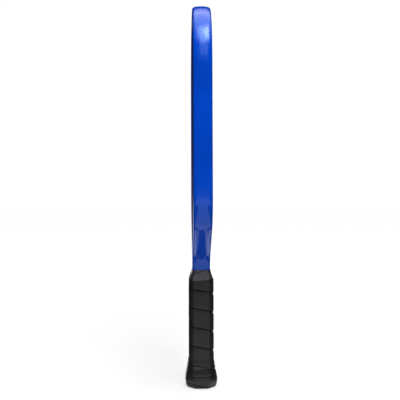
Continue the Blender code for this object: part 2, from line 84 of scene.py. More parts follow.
# ---- outline of the head ------------------------------------------------------------------------
SIDE_TAPER = 4.0 * MM               # each side comes in by this much up to the top corner
TOP_CORNER_RADIUS = 75.0 * MM
CROWN_RADIUS = 250.0 * MM           # the top edge's own slight curve
CROWN_SLOPE = math.radians(5.0)
SIDE_RADIUS = 400.0 * MM
WIDEST_STRETCH = 33.0 * MM
SHOULDER_RADIUS = 38.0 * MM
SHOULDER_SLOPE = math.radians(30.4)
THROAT_RADIUS = 40.0 * MM
THROAT_RISE = 6.7 * MM              # throat's virtual corner above the finishing tape
NECK_HALF = 18.25 * MM              # half the width over the guard at that corner
ARC_STEP = math.radians(1.5)

# ---- guard --------------------------------------------------------------------------------------
GUARD_BASE = 2.0 * MM               # wall on the panel's edge
LIP_END = 8.5 * MM                  # guard's outside to the end of its lip
LIP_CLEARANCE = 0.3 * MM            # lip to the face
LIP_ROUND = 0.6 * MM                # rounding of the lip's free edge
EDGE_DEPTH = 3.2 * MM               # the rounded edge reaches in from the outside by this much
EDGE_POWER = 2.6                    # power of the superellipse across the guard

# ---- handle -------------------------------------------------------------------------------------
SHAFT_HALF_X = 17.0 * MM
SHAFT_HALF_Y = 13.4 * MM
SHAFT_FACET_X = 11.5 * MM           # half the octagon's facet along X
SHAFT_FACET_Y = 9.2 * MM            # half the octagon's facet along Y
FLARE = 3.85 * MM                   # butt stands out from the shaft by this much
FLARE_PEAK = 8.8 * MM               # height of the widest place
FLARE_BASE_INSET = 3.0 * MM         # from the widest place in to the base
BUTT_FACET_LOSS = 1.7 * MM          # butt's facets are this much shorter on each side of centre
SKIRT_TOP = CAP_HIGH.z
SKIRT_RISE = 0.8 * MM               # grip's step over the cap's edge
SKIRT_COVER = 4.5 * MM              # grip runs down to the shaft over this height
CAP_FLOOR = 4.5 * MM
COLLAR_START = 112.9 * MM           # handle thins down to the panel from here
COLLAR_LENGTH = 14.5 * MM
COLLAR_CHAMFER = 2.6 * MM           # collar's corners are cut off by this much
COLLAR_WALL = 0.10 * MM             # surface under the tape stands this far over the guard
COLLAR_HEIGHT = GUARD_LOW.z - 16 * MM   # the octagon is the collar's above this height
WIDENING = 8 * MM                   # handle widens to the guard over this height below its ends
CHORD_MARGIN = 6 * MM               # throat's curve is followed from this far below those ends
CORNER_SOFTNESS = 1.6 * MM          # a facet's corner is rounded over this length on each side
BUTT_SOFTNESS = 1.6 * MM            # and this much more at the widest place
COLLAR_SHARPENING = 0.35            # share of the rounding that is lost at the collar
CORNER_LIMIT = 0.48                 # most of a facet's length that one corner's rounding takes
FACET_GROWTH = 0.45                 # half a facet's growth, as a share of the cap's step
BASE_SHRINK = 0.4                   # half a facet's loss, as a share of how far the base draws in


class PaddleGuardLooks(bpy.types.PropertyGroup):
    """Finish of the edge guard."""
    colour: bpy.props.FloatVectorProperty(
        name="Colour", description="Moulded colour of the edge guard",
        subtype="COLOR", size=4, min=0.0, max=1.0, default=(0.0, 0.056, 0.52, 1.0))
    roughness: bpy.props.FloatProperty(
        name="Roughness", description="Mean roughness of the glossy guard",
        subtype="FACTOR", min=0.02, max=1.0, default=0.17)
    wear: bpy.props.FloatProperty(
        name="Wear", description="How much of the guard's edge is dulled by handling",
        subtype="FACTOR", min=0.0, max=1.0, default=0.25)


class PaddleGripLooks(bpy.types.PropertyGroup):
    """Shape and finish of the wound grip."""
    pitch: bpy.props.FloatProperty(
        name="Pitch", description="Rise of one turn of the grip",
        subtype="DISTANCE", unit="LENGTH", min=0.01, max=0.04, default=20.35 * MM)
    overlap: bpy.props.FloatProperty(
        name="Overlap", description="Width of each turn that lies under the next one",
        subtype="DISTANCE", unit="LENGTH", min=0.001, max=0.008, default=3.5 * MM)
    first_edge: bpy.props.FloatProperty(
        name="First edge", description="Height of the first turn's lower edge on the +X facet",
        subtype="DISTANCE", unit="LENGTH", min=-0.03, max=0.03, default=4.6 * MM)
    colour: bpy.props.FloatVectorProperty(
        name="Colour", description="Colour of the grip's outer skin",
        subtype="COLOR", size=4, min=0.0, max=1.0, default=(0.0090, 0.0081, 0.0088, 1.0))


class PaddleTapeLooks(bpy.types.PropertyGroup):
    """Shape and finish of the finishing tape."""
    strip: bpy.props.FloatProperty(
        name="Strip", description="Width of the tape",
        subtype="DISTANCE", unit="LENGTH", min=0.004, max=0.02, default=12.6 * MM)
    skew: bpy.props.FloatProperty(
        name="Skew", description="How far the outer turn dips at its lowest",
        subtype="DISTANCE", unit="LENGTH", min=0.0, max=0.01, default=6.5 * MM)
    thickness: bpy.props.FloatProperty(
        name="Thickness", description="Thickness of the tape",
        subtype="DISTANCE", unit="LENGTH", min=0.0001, max=0.001, default=0.30 * MM)
    colour: bpy.props.FloatVectorProperty(
        name="Colour", description="Colour of the tape",
        subtype="COLOR", size=4, min=0.0, max=1.0, default=(0.030, 0.032, 0.038, 1.0))


class PaddleFaceLooks(bpy.types.PropertyGroup):
    """Finish of the carbon faces."""
    tow: bpy.props.FloatProperty(
        name="Tow", description="Width of one tow of the woven carbon",
        subtype="DISTANCE", unit="LENGTH", min=0.0005, max=0.006, default=2.0 * MM)
    dark: bpy.props.FloatVectorProperty(
        name="Dark", description="Colour of the tows that run across",
        subtype="COLOR", size=4, min=0.0, max=1.0, default=(0.010, 0.010, 0.011, 1.0))
    light: bpy.props.FloatVectorProperty(
        name="Light", description="Colour of the tows that run up",
        subtype="COLOR", size=4, min=0.0, max=1.0, default=(0.024, 0.024, 0.026, 1.0))


class PaddleStage(bpy.types.PropertyGroup):
    """Camera and light."""
    distance: bpy.props.FloatProperty(
        name="Camera distance", description="Camera to the paddle's centre line",
        subtype="DISTANCE", unit="LENGTH", min=0.3, max=3.0, default=0.760)
    height: bpy.props.FloatProperty(
        name="Camera height", description="Camera above the floor",
        subtype="DISTANCE", unit="LENGTH", min=0.0, max=1.0, default=0.1988)
    turn: bpy.props.FloatProperty(
        name="Camera turn", description="Camera's turn from the +X side towards the front face",
        subtype="ANGLE", unit="ROTATION", min=-0.2, max=0.2, default=0.0249)
    lens: bpy.props.FloatProperty(
        name="Lens", description="Focal length on a 36 mm sensor, in millimetres",
        min=20.0, max=200.0, default=62.44)
    ambient: bpy.props.FloatProperty(
        name="Ambient", description="Strength of the even light from all round",
        min=0.0, max=1.0, default=0.12)


# ---- arrays: outline ----------------------------------------------------------------------------
def rounded_path(corners):
    """Points, outward normals and run length along straight lines joined by tangent arcs.

    corners has a row (x, z, radius) for each corner.  At each inner corner the two directions d0 and
    d1 turn by an angle; the arc starts radius * tan(turn / 2) before the corner and is swept as a
    whole array of angles about its centre.  Outward is on the left of the path.
    """
    corners = np.asarray(corners, float)
    places, radii = corners[:, :2], corners[:, 2]
    steps = np.diff(places, axis=0)
    directions = steps / np.linalg.norm(steps, axis=1)[:, None]
    points, headings = [places[:1]], [directions[:1]]
    for index in range(1, len(places) - 1):
        d0, d1 = directions[index - 1], directions[index]
        turn = math.atan2(d0[0] * d1[1] - d0[1] * d1[0], d0 @ d1)
        side = math.copysign(1.0, turn)
        start = places[index] - d0 * radii[index] * math.tan(abs(turn) / 2)
        centre = start + side * radii[index] * np.array([-d0[1], d0[0]])
        count = max(4, math.ceil(abs(turn) / ARC_STEP))
        angle = np.linspace(0.0, turn, count + 1)
        heading = np.stack([d0[0] * np.cos(angle) - d0[1] * np.sin(angle),
                            d0[0] * np.sin(angle) + d0[1] * np.cos(angle)], axis=1)
        arc = centre + side * radii[index] * np.stack([heading[:, 1], -heading[:, 0]], axis=1)
        points.append(arc)
        headings.append(heading)
    points.append(places[-1:])
    headings.append(directions[-1:])
    points, headings = np.concatenate(points), np.concatenate(headings)
    normals = np.stack([-headings[:, 1], headings[:, 0]], axis=1)
    run = np.concatenate([[0.0], np.cumsum(np.linalg.norm(np.diff(points, axis=0), axis=1))])
    return points, normals, run


def guard_outline():
    """Outside of the guard from the left of the handle over the head and down to the right."""
    half_width, top, bottom = GUARD_HIGH.x, GUARD_HIGH.z, GUARD_LOW.z
    throat = TAPE_HIGH.z + THROAT_RISE
    shoulder = throat + (half_width - NECK_HALF) * math.tan(SHOULDER_SLOPE)
    half_top = half_width - SIDE_TAPER
    apex = top + CROWN_RADIUS * (1 / math.cos(CROWN_SLOPE) - 1)
    right = [(half_top, apex - half_top * math.tan(CROWN_SLOPE), TOP_CORNER_RADIUS),
             (half_width, shoulder + WIDEST_STRETCH, SIDE_RADIUS),
             (half_width, shoulder, SHOULDER_RADIUS),
             (NECK_HALF, throat, THROAT_RADIUS),
             (NECK_HALF, 0.5 * bottom, 0.0)]
    left = [(-x, z, radius) for x, z, radius in reversed(right)]
    points, normals, run = rounded_path(left + [(0.0, apex, CROWN_RADIUS)] + right)
    return clip_below(points, normals, run, bottom)


def clip_below(points, normals, run, bottom):
    """The stretch of a path above a height, with new ends interpolated exactly at that height."""
    keep = np.flatnonzero(points[:, 1] > bottom)
    first, last = keep[0], keep[-1]
    ends = []
    for inner, outer in ((first, first - 1), (last, last + 1)):
        share = (bottom - points[inner, 1]) / (points[outer, 1] - points[inner, 1])
        ends.append([data[inner] + (data[outer] - data[inner]) * share for data in (points, normals, run)])
    merged = []
    for index, data in enumerate((points, normals, run)):
        merged.append(np.concatenate([[ends[0][index]], data[first:last + 1], [ends[1][index]]]))
    return merged


def guard_half_width(height):
    """Half the width over the guard at heights on the throat's curve: a circle's chord."""
    turn = math.pi / 2 - SHOULDER_SLOPE
    throat = TAPE_HIGH.z + THROAT_RISE
    rise = np.maximum(0.0, height - throat + THROAT_RADIUS * math.tan(turn / 2))
    return NECK_HALF + THROAT_RADIUS - np.sqrt(THROAT_RADIUS ** 2 - rise ** 2)


# ---- arrays: handle sections --------------------------------------------------------------------
def smooth(value):
    """Cubic step from 0 to 1: 3 v^2 - 2 v^3, held outside that range."""
    v = np.clip(value, 0.0, 1.0)
    return v * v * (3.0 - 2.0 * v)


def flare_at(height):
    """How far the wrapped butt stands out: an ellipse up to the peak, half a cosine wave up to the
    cap's edge, then a straight fall to the shaft."""
    low = FLARE - FLARE_BASE_INSET * (1 - np.sqrt(np.clip(
        1 - (np.maximum(FLARE_PEAK - height, 0.0) / FLARE_PEAK) ** 2, 0.0, 1.0)))
    wave = np.cos(math.pi * np.clip((height - FLARE_PEAK) / (SKIRT_TOP - FLARE_PEAK), 0.0, 1.0))
    middle = SKIRT_RISE + (FLARE - SKIRT_RISE) * (1 + wave) / 2
    high = SKIRT_RISE * smooth(1 - (height - SKIRT_TOP) / SKIRT_COVER)
    return np.where(height <= FLARE_PEAK, low, np.where(height <= SKIRT_TOP, middle, high))


def octagon_corners(half_x, half_y, facet_x, facet_y):
    """Corners (N, 8, 2) of octagons, anticlockwise from the +X facet's upper corner."""
    quarter = [(half_x, facet_y), (facet_x, half_y)]
    upper = quarter + [(-x, y) for x, y in reversed(quarter)]
    corners = upper + [(-x, -y) for x, y in upper]
    return np.stack([np.stack(np.broadcast_arrays(x, y), axis=-1) for x, y in corners], axis=-2)


SHAFT_CORNERS = octagon_corners(SHAFT_HALF_X, SHAFT_HALF_Y, SHAFT_FACET_X, SHAFT_FACET_Y)


def handle_corners(height):
    """Octagon over the grip at each height: the shaft, grown into the flare below, drawn in to the
    panel's flat section above."""
    flare = flare_at(height)
    widest = np.where(height > FLARE_PEAK, flare, FLARE)
    loss = BUTT_FACET_LOSS * np.clip((widest - SKIRT_RISE) / (FLARE - SKIRT_RISE), 0.0, 1.0)
    drawn = flare - widest
    grow = FACET_GROWTH * np.minimum(widest, SKIRT_RISE)
    butt = (SHAFT_HALF_X + flare, SHAFT_HALF_Y + flare,
            SHAFT_FACET_X + grow - loss + BASE_SHRINK * drawn,
            SHAFT_FACET_Y + grow - loss + BASE_SHRINK * drawn)
    over_guard = guard_half_width(np.maximum(height, GUARD_LOW.z - CHORD_MARGIN)) + COLLAR_WALL
    share = smooth((height - COLLAR_START) / COLLAR_LENGTH)
    early = smooth((height - (GUARD_LOW.z - WIDENING)) / WIDENING)
    collar_y = SHAFT_HALF_Y - (SHAFT_HALF_Y - (GUARD_HIGH.y + COLLAR_WALL)) * share
    collar_x = SHAFT_HALF_X + (over_guard - SHAFT_HALF_X) * early
    facet_x = SHAFT_FACET_X + (collar_x - COLLAR_CHAMFER - SHAFT_FACET_X) * share
    facet_y = SHAFT_FACET_Y + (collar_y - COLLAR_CHAMFER - SHAFT_FACET_Y) * share
    collar = (collar_x, collar_y, facet_x, facet_y)
    above = height > COLLAR_HEIGHT
    return octagon_corners(*[np.where(above, c, b) for b, c in zip(butt, collar)])


def softness_at(height):
    """Rounding length at each facet's corner: the shaft's, more at the flare, less at the collar."""
    share = smooth((height - COLLAR_START) / COLLAR_LENGTH)
    flared = BUTT_SOFTNESS * np.clip(flare_at(height) / FLARE, 0.0, 1.0)
    return (CORNER_SOFTNESS + flared) * (1 - COLLAR_SHARPENING * share)


def handle_surface(turn, height):
    """Points and outward normals in the plane of a rounded octagon.

    turn counts round the octagon from 0 to 1, an eighth for each corner and the facet after it.  The
    first half of each eighth follows a quadratic curve P0 (1-u)^2 + 2 P1 u (1-u) + P2 u^2, from a
    point on the facet before the corner to one on the facet after it; the rest is that facet.
    """
    turn, height = np.broadcast_arrays(np.mod(turn, 1.0), height)
    corners = handle_corners(height)
    sector = np.floor(turn * 8).astype(int) % 8
    local = turn * 8 - np.floor(turn * 8)

    def corner(offset):
        index = ((sector + offset) % 8)[..., None, None]
        index = np.broadcast_to(index, index.shape[:-2] + (1, 2))
        return np.take_along_axis(corners, index, axis=-2)[..., 0, :]

    def length(vector):
        return np.linalg.norm(vector, axis=-1, keepdims=True)

    def unit(vector):
        return vector / length(vector)

    before, here, after = corner(7), corner(0), corner(1)
    into, out = unit(here - before), unit(after - here)
    reach = np.minimum(softness_at(height)[..., None], CORNER_LIMIT * length(after - here))
    back = np.minimum(reach, CORNER_LIMIT * length(here - before))
    start, end = here - into * back, here + out * reach
    facet_end = after - out * reach
    u = np.clip(local * 2, 0.0, 1.0)[..., None]
    v = np.clip(local * 2 - 1, 0.0, 1.0)[..., None]
    curve = start * (1 - u) ** 2 + 2 * here * u * (1 - u) + end * u ** 2
    heading = (here - start) * (1 - u) + (end - here) * u
    point = np.where(local[..., None] < 0.5, curve, end + (facet_end - end) * v)
    heading = unit(np.where(local[..., None] < 0.5, heading, out))
    return point, np.stack([heading[..., 1], -heading[..., 0]], axis=-1)


def shaft_share(turn):
    """Share of the shaft's perimeter passed at a turn, so that a wound strip rises evenly."""
    lengths = np.linalg.norm(np.roll(SHAFT_CORNERS, -1, axis=0) - SHAFT_CORNERS, axis=1)
    marks, shares, passed = [0.0], [0.0], 0.0
    for index, length in enumerate(lengths):
        marks += [(index + 0.5) / 8, (index + 1.0) / 8]
        shares += [passed + 2 * CORNER_SOFTNESS, passed + length]
        passed += length
    whole = np.floor(turn)
    return whole + np.interp(turn - whole, marks, np.array(shares) / passed)


# ---- mesh making --------------------------------------------------------------------------------
def put_in_scene(name, data):
    """An object at the origin that holds the data, linked to the scene."""
    made = bpy.data.objects.new(name, data)
    bpy.context.scene.collection.objects.link(made)
    return made


def grid_mesh(name, grid, uv, finish):
    """A closed piece from a (rows, columns, 3) grid whose columns wrap round.

    Each row is a closed loop, and the first and last rows get a face each.  uv has the same rows and
    one more column.
    """
    rows, columns = grid.shape[:2]
    mesh = bpy.data.meshes.new(name)
    r, c = np.meshgrid(np.arange(rows - 1), np.arange(columns), indexing="ij")
    c1 = (c + 1) % columns
    quads = np.stack([r * columns + c, r * columns + c1,
                      (r + 1) * columns + c1, (r + 1) * columns + c], axis=-1)
    quad_uv = np.stack([uv[r, c], uv[r, c + 1], uv[r + 1, c + 1], uv[r + 1, c]], axis=-2)
    faces = quads.reshape(-1, 4).tolist()
    faces.append(np.arange(columns)[::-1].tolist())
    faces.append((np.arange(columns) + (rows - 1) * columns).tolist())
    corner_uv = [quad_uv.reshape(-1, 2), uv[0, :columns][::-1], uv[rows - 1, :columns]]
    mesh.from_pydata(grid.reshape(-1, 3).tolist(), [], faces)
    layer = mesh.uv_layers.new(name="Strip")
    layer.data.foreach_set("uv", np.concatenate(corner_uv).astype(np.float32).ravel())
    face_out(mesh)
    mesh.shade_smooth()
    made = put_in_scene(name, mesh)
    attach(made, "root")
    mesh.materials.append(finish)
    return made


def face_out(mesh):
    """Turn a closed mesh's faces outwards."""
    data = bmesh.new()
    data.from_mesh(mesh)
    bmesh.ops.recalc_face_normals(data, faces=data.faces)
    data.to_mesh(mesh)
    data.free()


def add_attribute(made, name, values):
    """A number at each vertex, for masks that follow the shape."""
    layer = made.data.attributes.new(name, "FLOAT", "POINT")
    layer.data.foreach_set("value", np.asarray(values, np.float32).ravel())


def there_and_back(values):
    """Numbers across a strip's outside, then the same numbers back along its inside."""
    return np.concatenate([values, values[:, ::-1]], axis=1)


# ---- shader groups ------------------------------------------------------------------------------
def new_group(name, inputs, outputs):
    """An empty shader group with named sockets; returns the tree and its two end nodes."""
    tree = bpy.data.node_groups.new(name, "ShaderNodeTree")
    for label, kind, default in inputs:
        socket = tree.interface.new_socket(name=label, in_out="INPUT", socket_type=kind)
        if default is not None:
            socket.default_value = default
    for label, kind in outputs:
        tree.interface.new_socket(name=label, in_out="OUTPUT", socket_type=kind)
    return tree, tree.nodes.new("NodeGroupInput"), tree.nodes.new("NodeGroupOutput")


def wire(tree, target, value):
    """Feed a socket from another socket, or set it to a plain value."""
    if isinstance(value, bpy.types.NodeSocket):
        tree.links.new(value, target)
    elif value is not None:
        target.default_value = value


def maths(tree, operation, a, b=None, c=None, clamp=False):
    """A Math node; returns its output."""
    node = tree.nodes.new("ShaderNodeMath")
    node.operation = operation
    node.use_clamp = clamp
    for socket, value in zip(node.inputs, (a, b, c)):
        wire(tree, socket, value)
    return node.outputs[0]


def remap(tree, value, low, high, to_low=0.0, to_high=1.0, smoothed=True):
    """A Map Range node, smooth or straight; returns its output."""
    node = tree.nodes.new("ShaderNodeMapRange")
    node.interpolation_type = "SMOOTHSTEP" if smoothed else "LINEAR"
    for socket, number in zip(node.inputs, (value, low, high, to_low, to_high)):
        wire(tree, socket, number)
    return node.outputs[0]


def blend_colours(tree, share, first, second, mode="MIX"):
    """A colour Mix node; returns its output."""
    node = tree.nodes.new("ShaderNodeMix")
    node.data_type = "RGBA"
    node.blend_type = mode
    sockets = {s.identifier: s for s in node.inputs}
    wire(tree, sockets["Factor_Float"], share)
    wire(tree, sockets["A_Color"], first)
    wire(tree, sockets["B_Color"], second)
    return next(s for s in node.outputs if s.identifier == "Result_Color")


def scaled_vector(tree, vector, scale):
    """A Mapping node that stretches a pattern; returns its output."""
    node = tree.nodes.new("ShaderNodeMapping")
    wire(tree, node.inputs["Vector"], vector)
    node.inputs["Scale"].default_value = scale
    return node.outputs[0]


def noise(tree, vector, scale, detail=2.0, roughness=0.5, distortion=0.0):
    """A Noise node; returns its value."""
    node = tree.nodes.new("ShaderNodeTexNoise")
    wire(tree, node.inputs["Vector"], vector)
    wire(tree, node.inputs["Scale"], scale)
    wire(tree, node.inputs["Detail"], detail)
    wire(tree, node.inputs["Roughness"], roughness)
    wire(tree, node.inputs["Distortion"], distortion)
    return node.outputs["Fac"]


def make_grain_group():
    """Grain: pebbles from a cell pattern softened with fine noise, and a slow mottle."""
    tree, start, end = new_group(
        "Paddle grain",
        [("Vector", "NodeSocketVector", None), ("Scale", "NodeSocketFloat", 900.0)],
        [("Height", "NodeSocketFloat"), ("Mottle", "NodeSocketFloat")])
    vector, scale = start.outputs["Vector"], start.outputs["Scale"]
    cells = tree.nodes.new("ShaderNodeTexVoronoi")
    cells.feature = "SMOOTH_F1"
    wire(tree, cells.inputs["Vector"], vector)
    wire(tree, cells.inputs["Scale"], scale)
    cells.inputs["Smoothness"].default_value = 0.6
    fine = noise(tree, vector, maths(tree, "MULTIPLY", scale, 3.1), 2.0)
    pebbles = maths(tree, "SUBTRACT", 1.0, cells.outputs["Distance"])
    height = maths(tree, "MULTIPLY_ADD", fine, 0.45, pebbles)
    wire(tree, end.inputs["Height"], height)
    wire(tree, end.inputs["Mottle"], noise(tree, vector, maths(tree, "MULTIPLY", scale, 0.045), 3.0))
    return tree


def make_wear_group():
    """Edge wear: a mask where an edge value is high and a broken noise lets it through."""
    tree, start, end = new_group(
        "Paddle edge wear",
        [("Vector", "NodeSocketVector", None), ("Edge", "NodeSocketFloat", 0.0),
         ("Amount", "NodeSocketFloat", 0.3), ("Scale", "NodeSocketFloat", 120.0)],
        [("Mask", "NodeSocketFloat")])
    edge = start.outputs["Edge"]
    broken = noise(tree, start.outputs["Vector"], start.outputs["Scale"], 6.0, 0.65)
    need = maths(tree, "SUBTRACT", 1.05, maths(tree, "MULTIPLY", start.outputs["Amount"], edge))
    mask = remap(tree, maths(tree, "ADD", broken, maths(tree, "MULTIPLY", edge, 0.2)),
                 need, maths(tree, "ADD", need, 0.18))
    wire(tree, end.inputs["Mask"], maths(tree, "MULTIPLY", mask, edge))
    return tree


def make_weave_group():
    """Twill weave: tows two over and two under.

    With a and b the place counted in tows across and up, the tow on top is the upright one where
    floor(a) + floor(b) modulo 4 is under 2.  Each tow's height is 1 - (2 f - 1)^2 of the fraction f
    across it.
    """
    tree, start, end = new_group(
        "Paddle weave",
        [("Vector", "NodeSocketVector", None), ("Tow", "NodeSocketFloat", 2.0 * MM)],
        [("Height", "NodeSocketFloat"), ("Upright", "NodeSocketFloat"), ("Fibre", "NodeSocketFloat")])
    vector = start.outputs["Vector"]
    split = tree.nodes.new("ShaderNodeSeparateXYZ")
    wire(tree, split.inputs[0], vector)
    across = maths(tree, "DIVIDE", split.outputs["X"], start.outputs["Tow"])
    up = maths(tree, "DIVIDE", split.outputs["Z"], start.outputs["Tow"])
    cell = maths(tree, "ADD", maths(tree, "FLOOR", across), maths(tree, "FLOOR", up))
    upright = maths(tree, "LESS_THAN", maths(tree, "FLOORED_MODULO", cell, 4.0), 2.0)

    def dome(value):
        """1 - (2 f - 1)^2 across one tow."""
        fraction = maths(tree, "SUBTRACT", value, maths(tree, "FLOOR", value))
        centred = maths(tree, "MULTIPLY_ADD", fraction, 2.0, -1.0)
        return maths(tree, "SUBTRACT", 1.0, maths(tree, "MULTIPLY", centred, centred))

    def on_top(if_upright, if_across):
        """The value of whichever tow is on top."""
        lying = maths(tree, "SUBTRACT", 1.0, upright)
        return maths(tree, "ADD", maths(tree, "MULTIPLY", upright, if_upright),
                     maths(tree, "MULTIPLY", lying, if_across))

    def fibres(stretch):
        """Fine streaks along one axis."""
        return noise(tree, scaled_vector(tree, vector, stretch), 2600.0, 2.0)

    wire(tree, end.inputs["Height"], on_top(dome(across), dome(up)))
    wire(tree, end.inputs["Upright"], upright)
    wire(tree, end.inputs["Fibre"], on_top(fibres((1.0, 1.0, 0.06)), fibres((0.06, 1.0, 1.0))))
    return tree


GROUPS = {}


def shared(name):
    """A shader group, made the first time it is asked for."""
    makers = {"grain": make_grain_group, "wear": make_wear_group, "weave": make_weave_group}
    if name not in GROUPS:
        GROUPS[name] = makers[name]()
    return GROUPS[name]


def place_group(tree, name, **values):
    """A group node with its own values; returns the node."""
    node = tree.nodes.new("ShaderNodeGroup")
    node.node_tree = shared(name)
    for label, value in values.items():
        wire(tree, node.inputs[label], value)
    return node


def new_material(name, **uniform):
    """A Principled material with its uniform values set; returns it, its tree, shader and vectors."""
    made = bpy.data.materials.new(name)
    made.use_nodes = True
    tree = made.node_tree
    shader = tree.nodes["Principled BSDF"]
    for label, value in uniform.items():
        shader.inputs[label.replace("_", " ")].default_value = value
    return made, tree, shader, tree.nodes.new("ShaderNodeTexCoord")


def add_bump(tree, shader, height, distance, strength=1.0):
    """A Bump node of a real depth, into the shader's normal."""
    node = tree.nodes.new("ShaderNodeBump")
    node.inputs["Strength"].default_value = strength
    node.inputs["Distance"].default_value = distance
    wire(tree, node.inputs["Height"], height)
    tree.links.new(node.outputs["Normal"], shader.inputs["Normal"])
    return node


def attribute_value(tree, name):
    """A vertex attribute's number."""
    node = tree.nodes.new("ShaderNodeAttribute")
    node.attribute_name = name
    return node.outputs["Fac"]


# ---- finishes -----------------------------------------------------------------------------------
def tint(colour, share, lift=0.0):
    """A colour scaled and lifted, held under 1, as RGBA."""
    return tuple(min(1.0, v * share + lift) for v in tuple(colour)[:3]) + (1.0,)


def guard_finish(looks):
    """Glossy extruded plastic: faint extrusion lines along it, orange peel, dulled rub marks."""
    made, tree, shader, coords = new_material(
        "guard_gloss_plastic", IOR=1.5, Specular_Tint=(0.55, 0.80, 1.0, 1.0))
    uv, place = coords.outputs["UV"], coords.outputs["Object"]
    lines = noise(tree, scaled_vector(tree, uv, (14.0, 2600.0, 1.0)), 1.0, 2.0)
    peel = noise(tree, place, 420.0, 2.0)
    mottle = noise(tree, place, 24.0, 3.0)
    wear = place_group(tree, "wear", Vector=place, Edge=attribute_value(tree, "edge"),
                       Amount=looks.wear, Scale=150.0)
    base = tuple(looks.colour)
    colour = blend_colours(tree, remap(tree, mottle, 0.35, 0.65), tint(base, 0.86), base)
    colour = blend_colours(tree, wear.outputs["Mask"], colour, tint(base, 0.75, 0.05))
    wire(tree, shader.inputs["Base Color"], colour)
    shine = remap(tree, lines, 0.3, 0.7, looks.roughness * 0.92, looks.roughness * 1.08)
    rough = maths(tree, "MULTIPLY_ADD", wear.outputs["Mask"], 0.30, shine)
    wire(tree, shader.inputs["Roughness"], rough)
    height = maths(tree, "MULTIPLY_ADD", peel, 0.9, maths(tree, "MULTIPLY", lines, 0.1))
    add_bump(tree, shader, height, 0.02 * MM, 0.4)
    return made


def grip_finish(looks):
    """Matte leather-like skin: pebbled grain, a smoother stretched edge along each turn, and painted shade
    along each seam.
    """
    made, tree, shader, coords = new_material("grip_matte_skin", IOR=1.45, Specular_IOR_Level=0.52)
    place = coords.outputs["Object"]
    grain = place_group(tree, "grain", Vector=place, Scale=1500.0)
    edge = attribute_value(tree, "edge")
    fold = attribute_value(tree, "fold")
    taut = attribute_value(tree, "taut")
    base = tuple(looks.colour)
    dusty = tint(base, 1.3, 0.001)
    colour = blend_colours(tree, remap(tree, grain.outputs["Mottle"], 0.35, 0.70), base, dusty)
    # painted shade: the skin goes nearly black along each seam, on the turn's rounded nose and under the
    # next turn's edge
    wire(tree, shader.inputs["Base Color"], blend_colours(tree, fold, colour, tint(base, 0.08)))
    rough = remap(tree, grain.outputs["Height"], 0.4, 1.3, 0.58, 0.46)
    rough = maths(tree, "MULTIPLY_ADD", edge, -0.10, rough)
    rough = maths(tree, "MULTIPLY_ADD", taut, -0.14, rough)
    wire(tree, shader.inputs["Roughness"], maths(tree, "MULTIPLY_ADD", fold, 0.3, rough, clamp=True))
    add_bump(tree, shader, grain.outputs["Height"], 0.10 * MM, 0.35)
    return made


def tape_finish(looks):
    """Satin stretched tape: fine lines along it, slight wrinkles across with a painted sheen on their
    crests, a brown cut edge, and painted shade along the outer turn's upper edge.
    """
    made, tree, shader, coords = new_material("tape_satin", IOR=1.5, Specular_IOR_Level=0.5)
    uv = coords.outputs["UV"]
    lines = noise(tree, scaled_vector(tree, uv, (30.0, 1500.0, 1.0)), 1.0, 2.0)
    wrinkle = noise(tree, scaled_vector(tree, uv, (420.0, 90.0, 1.0)), 1.0, 2.0, 0.5, 0.4)
    edge = attribute_value(tree, "edge")
    fold = attribute_value(tree, "fold")
    base = tuple(looks.colour)
    brown, shadow = (0.030, 0.022, 0.017, 1.0), (0.003, 0.003, 0.004, 1.0)
    # painted sheen: the tape is lighter on the crests of the wrinkles that the bump raises
    wrinkled = remap(tree, wrinkle, 0.35, 0.7, 0.0, 0.5)
    colour = blend_colours(tree, wrinkled, base, tint(base, 1.5, 0.004))
    colour = blend_colours(tree, maths(tree, "MULTIPLY", edge, 0.7), colour, brown)
    # painted shade: near black along the outer turn's upper edge where it dips, as if in the gap under that
    # edge
    wire(tree, shader.inputs["Base Color"], blend_colours(tree, fold, colour, shadow))
    wire(tree, shader.inputs["Roughness"], remap(tree, lines, 0.3, 0.7, 0.30, 0.42))
    height = maths(tree, "MULTIPLY_ADD", wrinkle, 0.8, maths(tree, "MULTIPLY", lines, 0.2))
    add_bump(tree, shader, height, 0.08 * MM, 0.5)
    return made


def face_finish(looks):
    """Raw woven carbon under a thin matte resin: twill tows, fibres along them, a gritty top."""
    made, tree, shader, coords = new_material("face_carbon_weave", IOR=1.5)
    place = coords.outputs["Object"]
    weave = place_group(tree, "weave", Vector=place, Tow=looks.tow)
    grit = noise(tree, place, 3800.0, 2.0)
    mottle = noise(tree, place, 18.0, 4.0)
    colour = blend_colours(tree, weave.outputs["Upright"], tuple(looks.dark), tuple(looks.light))
    colour = blend_colours(tree, remap(tree, weave.outputs["Fibre"], 0.3, 0.75, 0.0, 0.55), colour,
                           (0.050, 0.050, 0.053, 1.0))
    wire(tree, shader.inputs["Base Color"], colour)
    base = maths(tree, "MULTIPLY_ADD", weave.outputs["Upright"], 0.10, 0.36)
    rough = maths(tree, "ADD", base, remap(tree, mottle, 0.3, 0.7, 0.0, 0.10))
    wire(tree, shader.inputs["Roughness"], rough)
    height = maths(tree, "MULTIPLY_ADD", grit, 0.35, weave.outputs["Height"])
    add_bump(tree, shader, height, 0.09 * MM, 0.5)
    return made


def moulded_finish(name, colour, roughness, scale, depth, metallic=0.0):
    """Moulded plastic, foam or plain metal: a grain of its own scale in colour, shine and bump."""
    made, tree, shader, coords = new_material(name, Metallic=metallic)
    grain = place_group(tree, "grain", Vector=coords.outputs["Object"], Scale=scale)
    mottle = remap(tree, grain.outputs["Mottle"], 0.3, 0.7)
    wire(tree, shader.inputs["Base Color"],
         blend_colours(tree, mottle, tint(colour, 0.82), tint(colour, 1.18)))
    wire(tree, shader.inputs["Roughness"],
         remap(tree, grain.outputs["Height"], 0.3, 1.4, roughness * 1.1, roughness * 0.85))
    add_bump(tree, shader, grain.outputs["Height"], depth, 0.5)
    return made


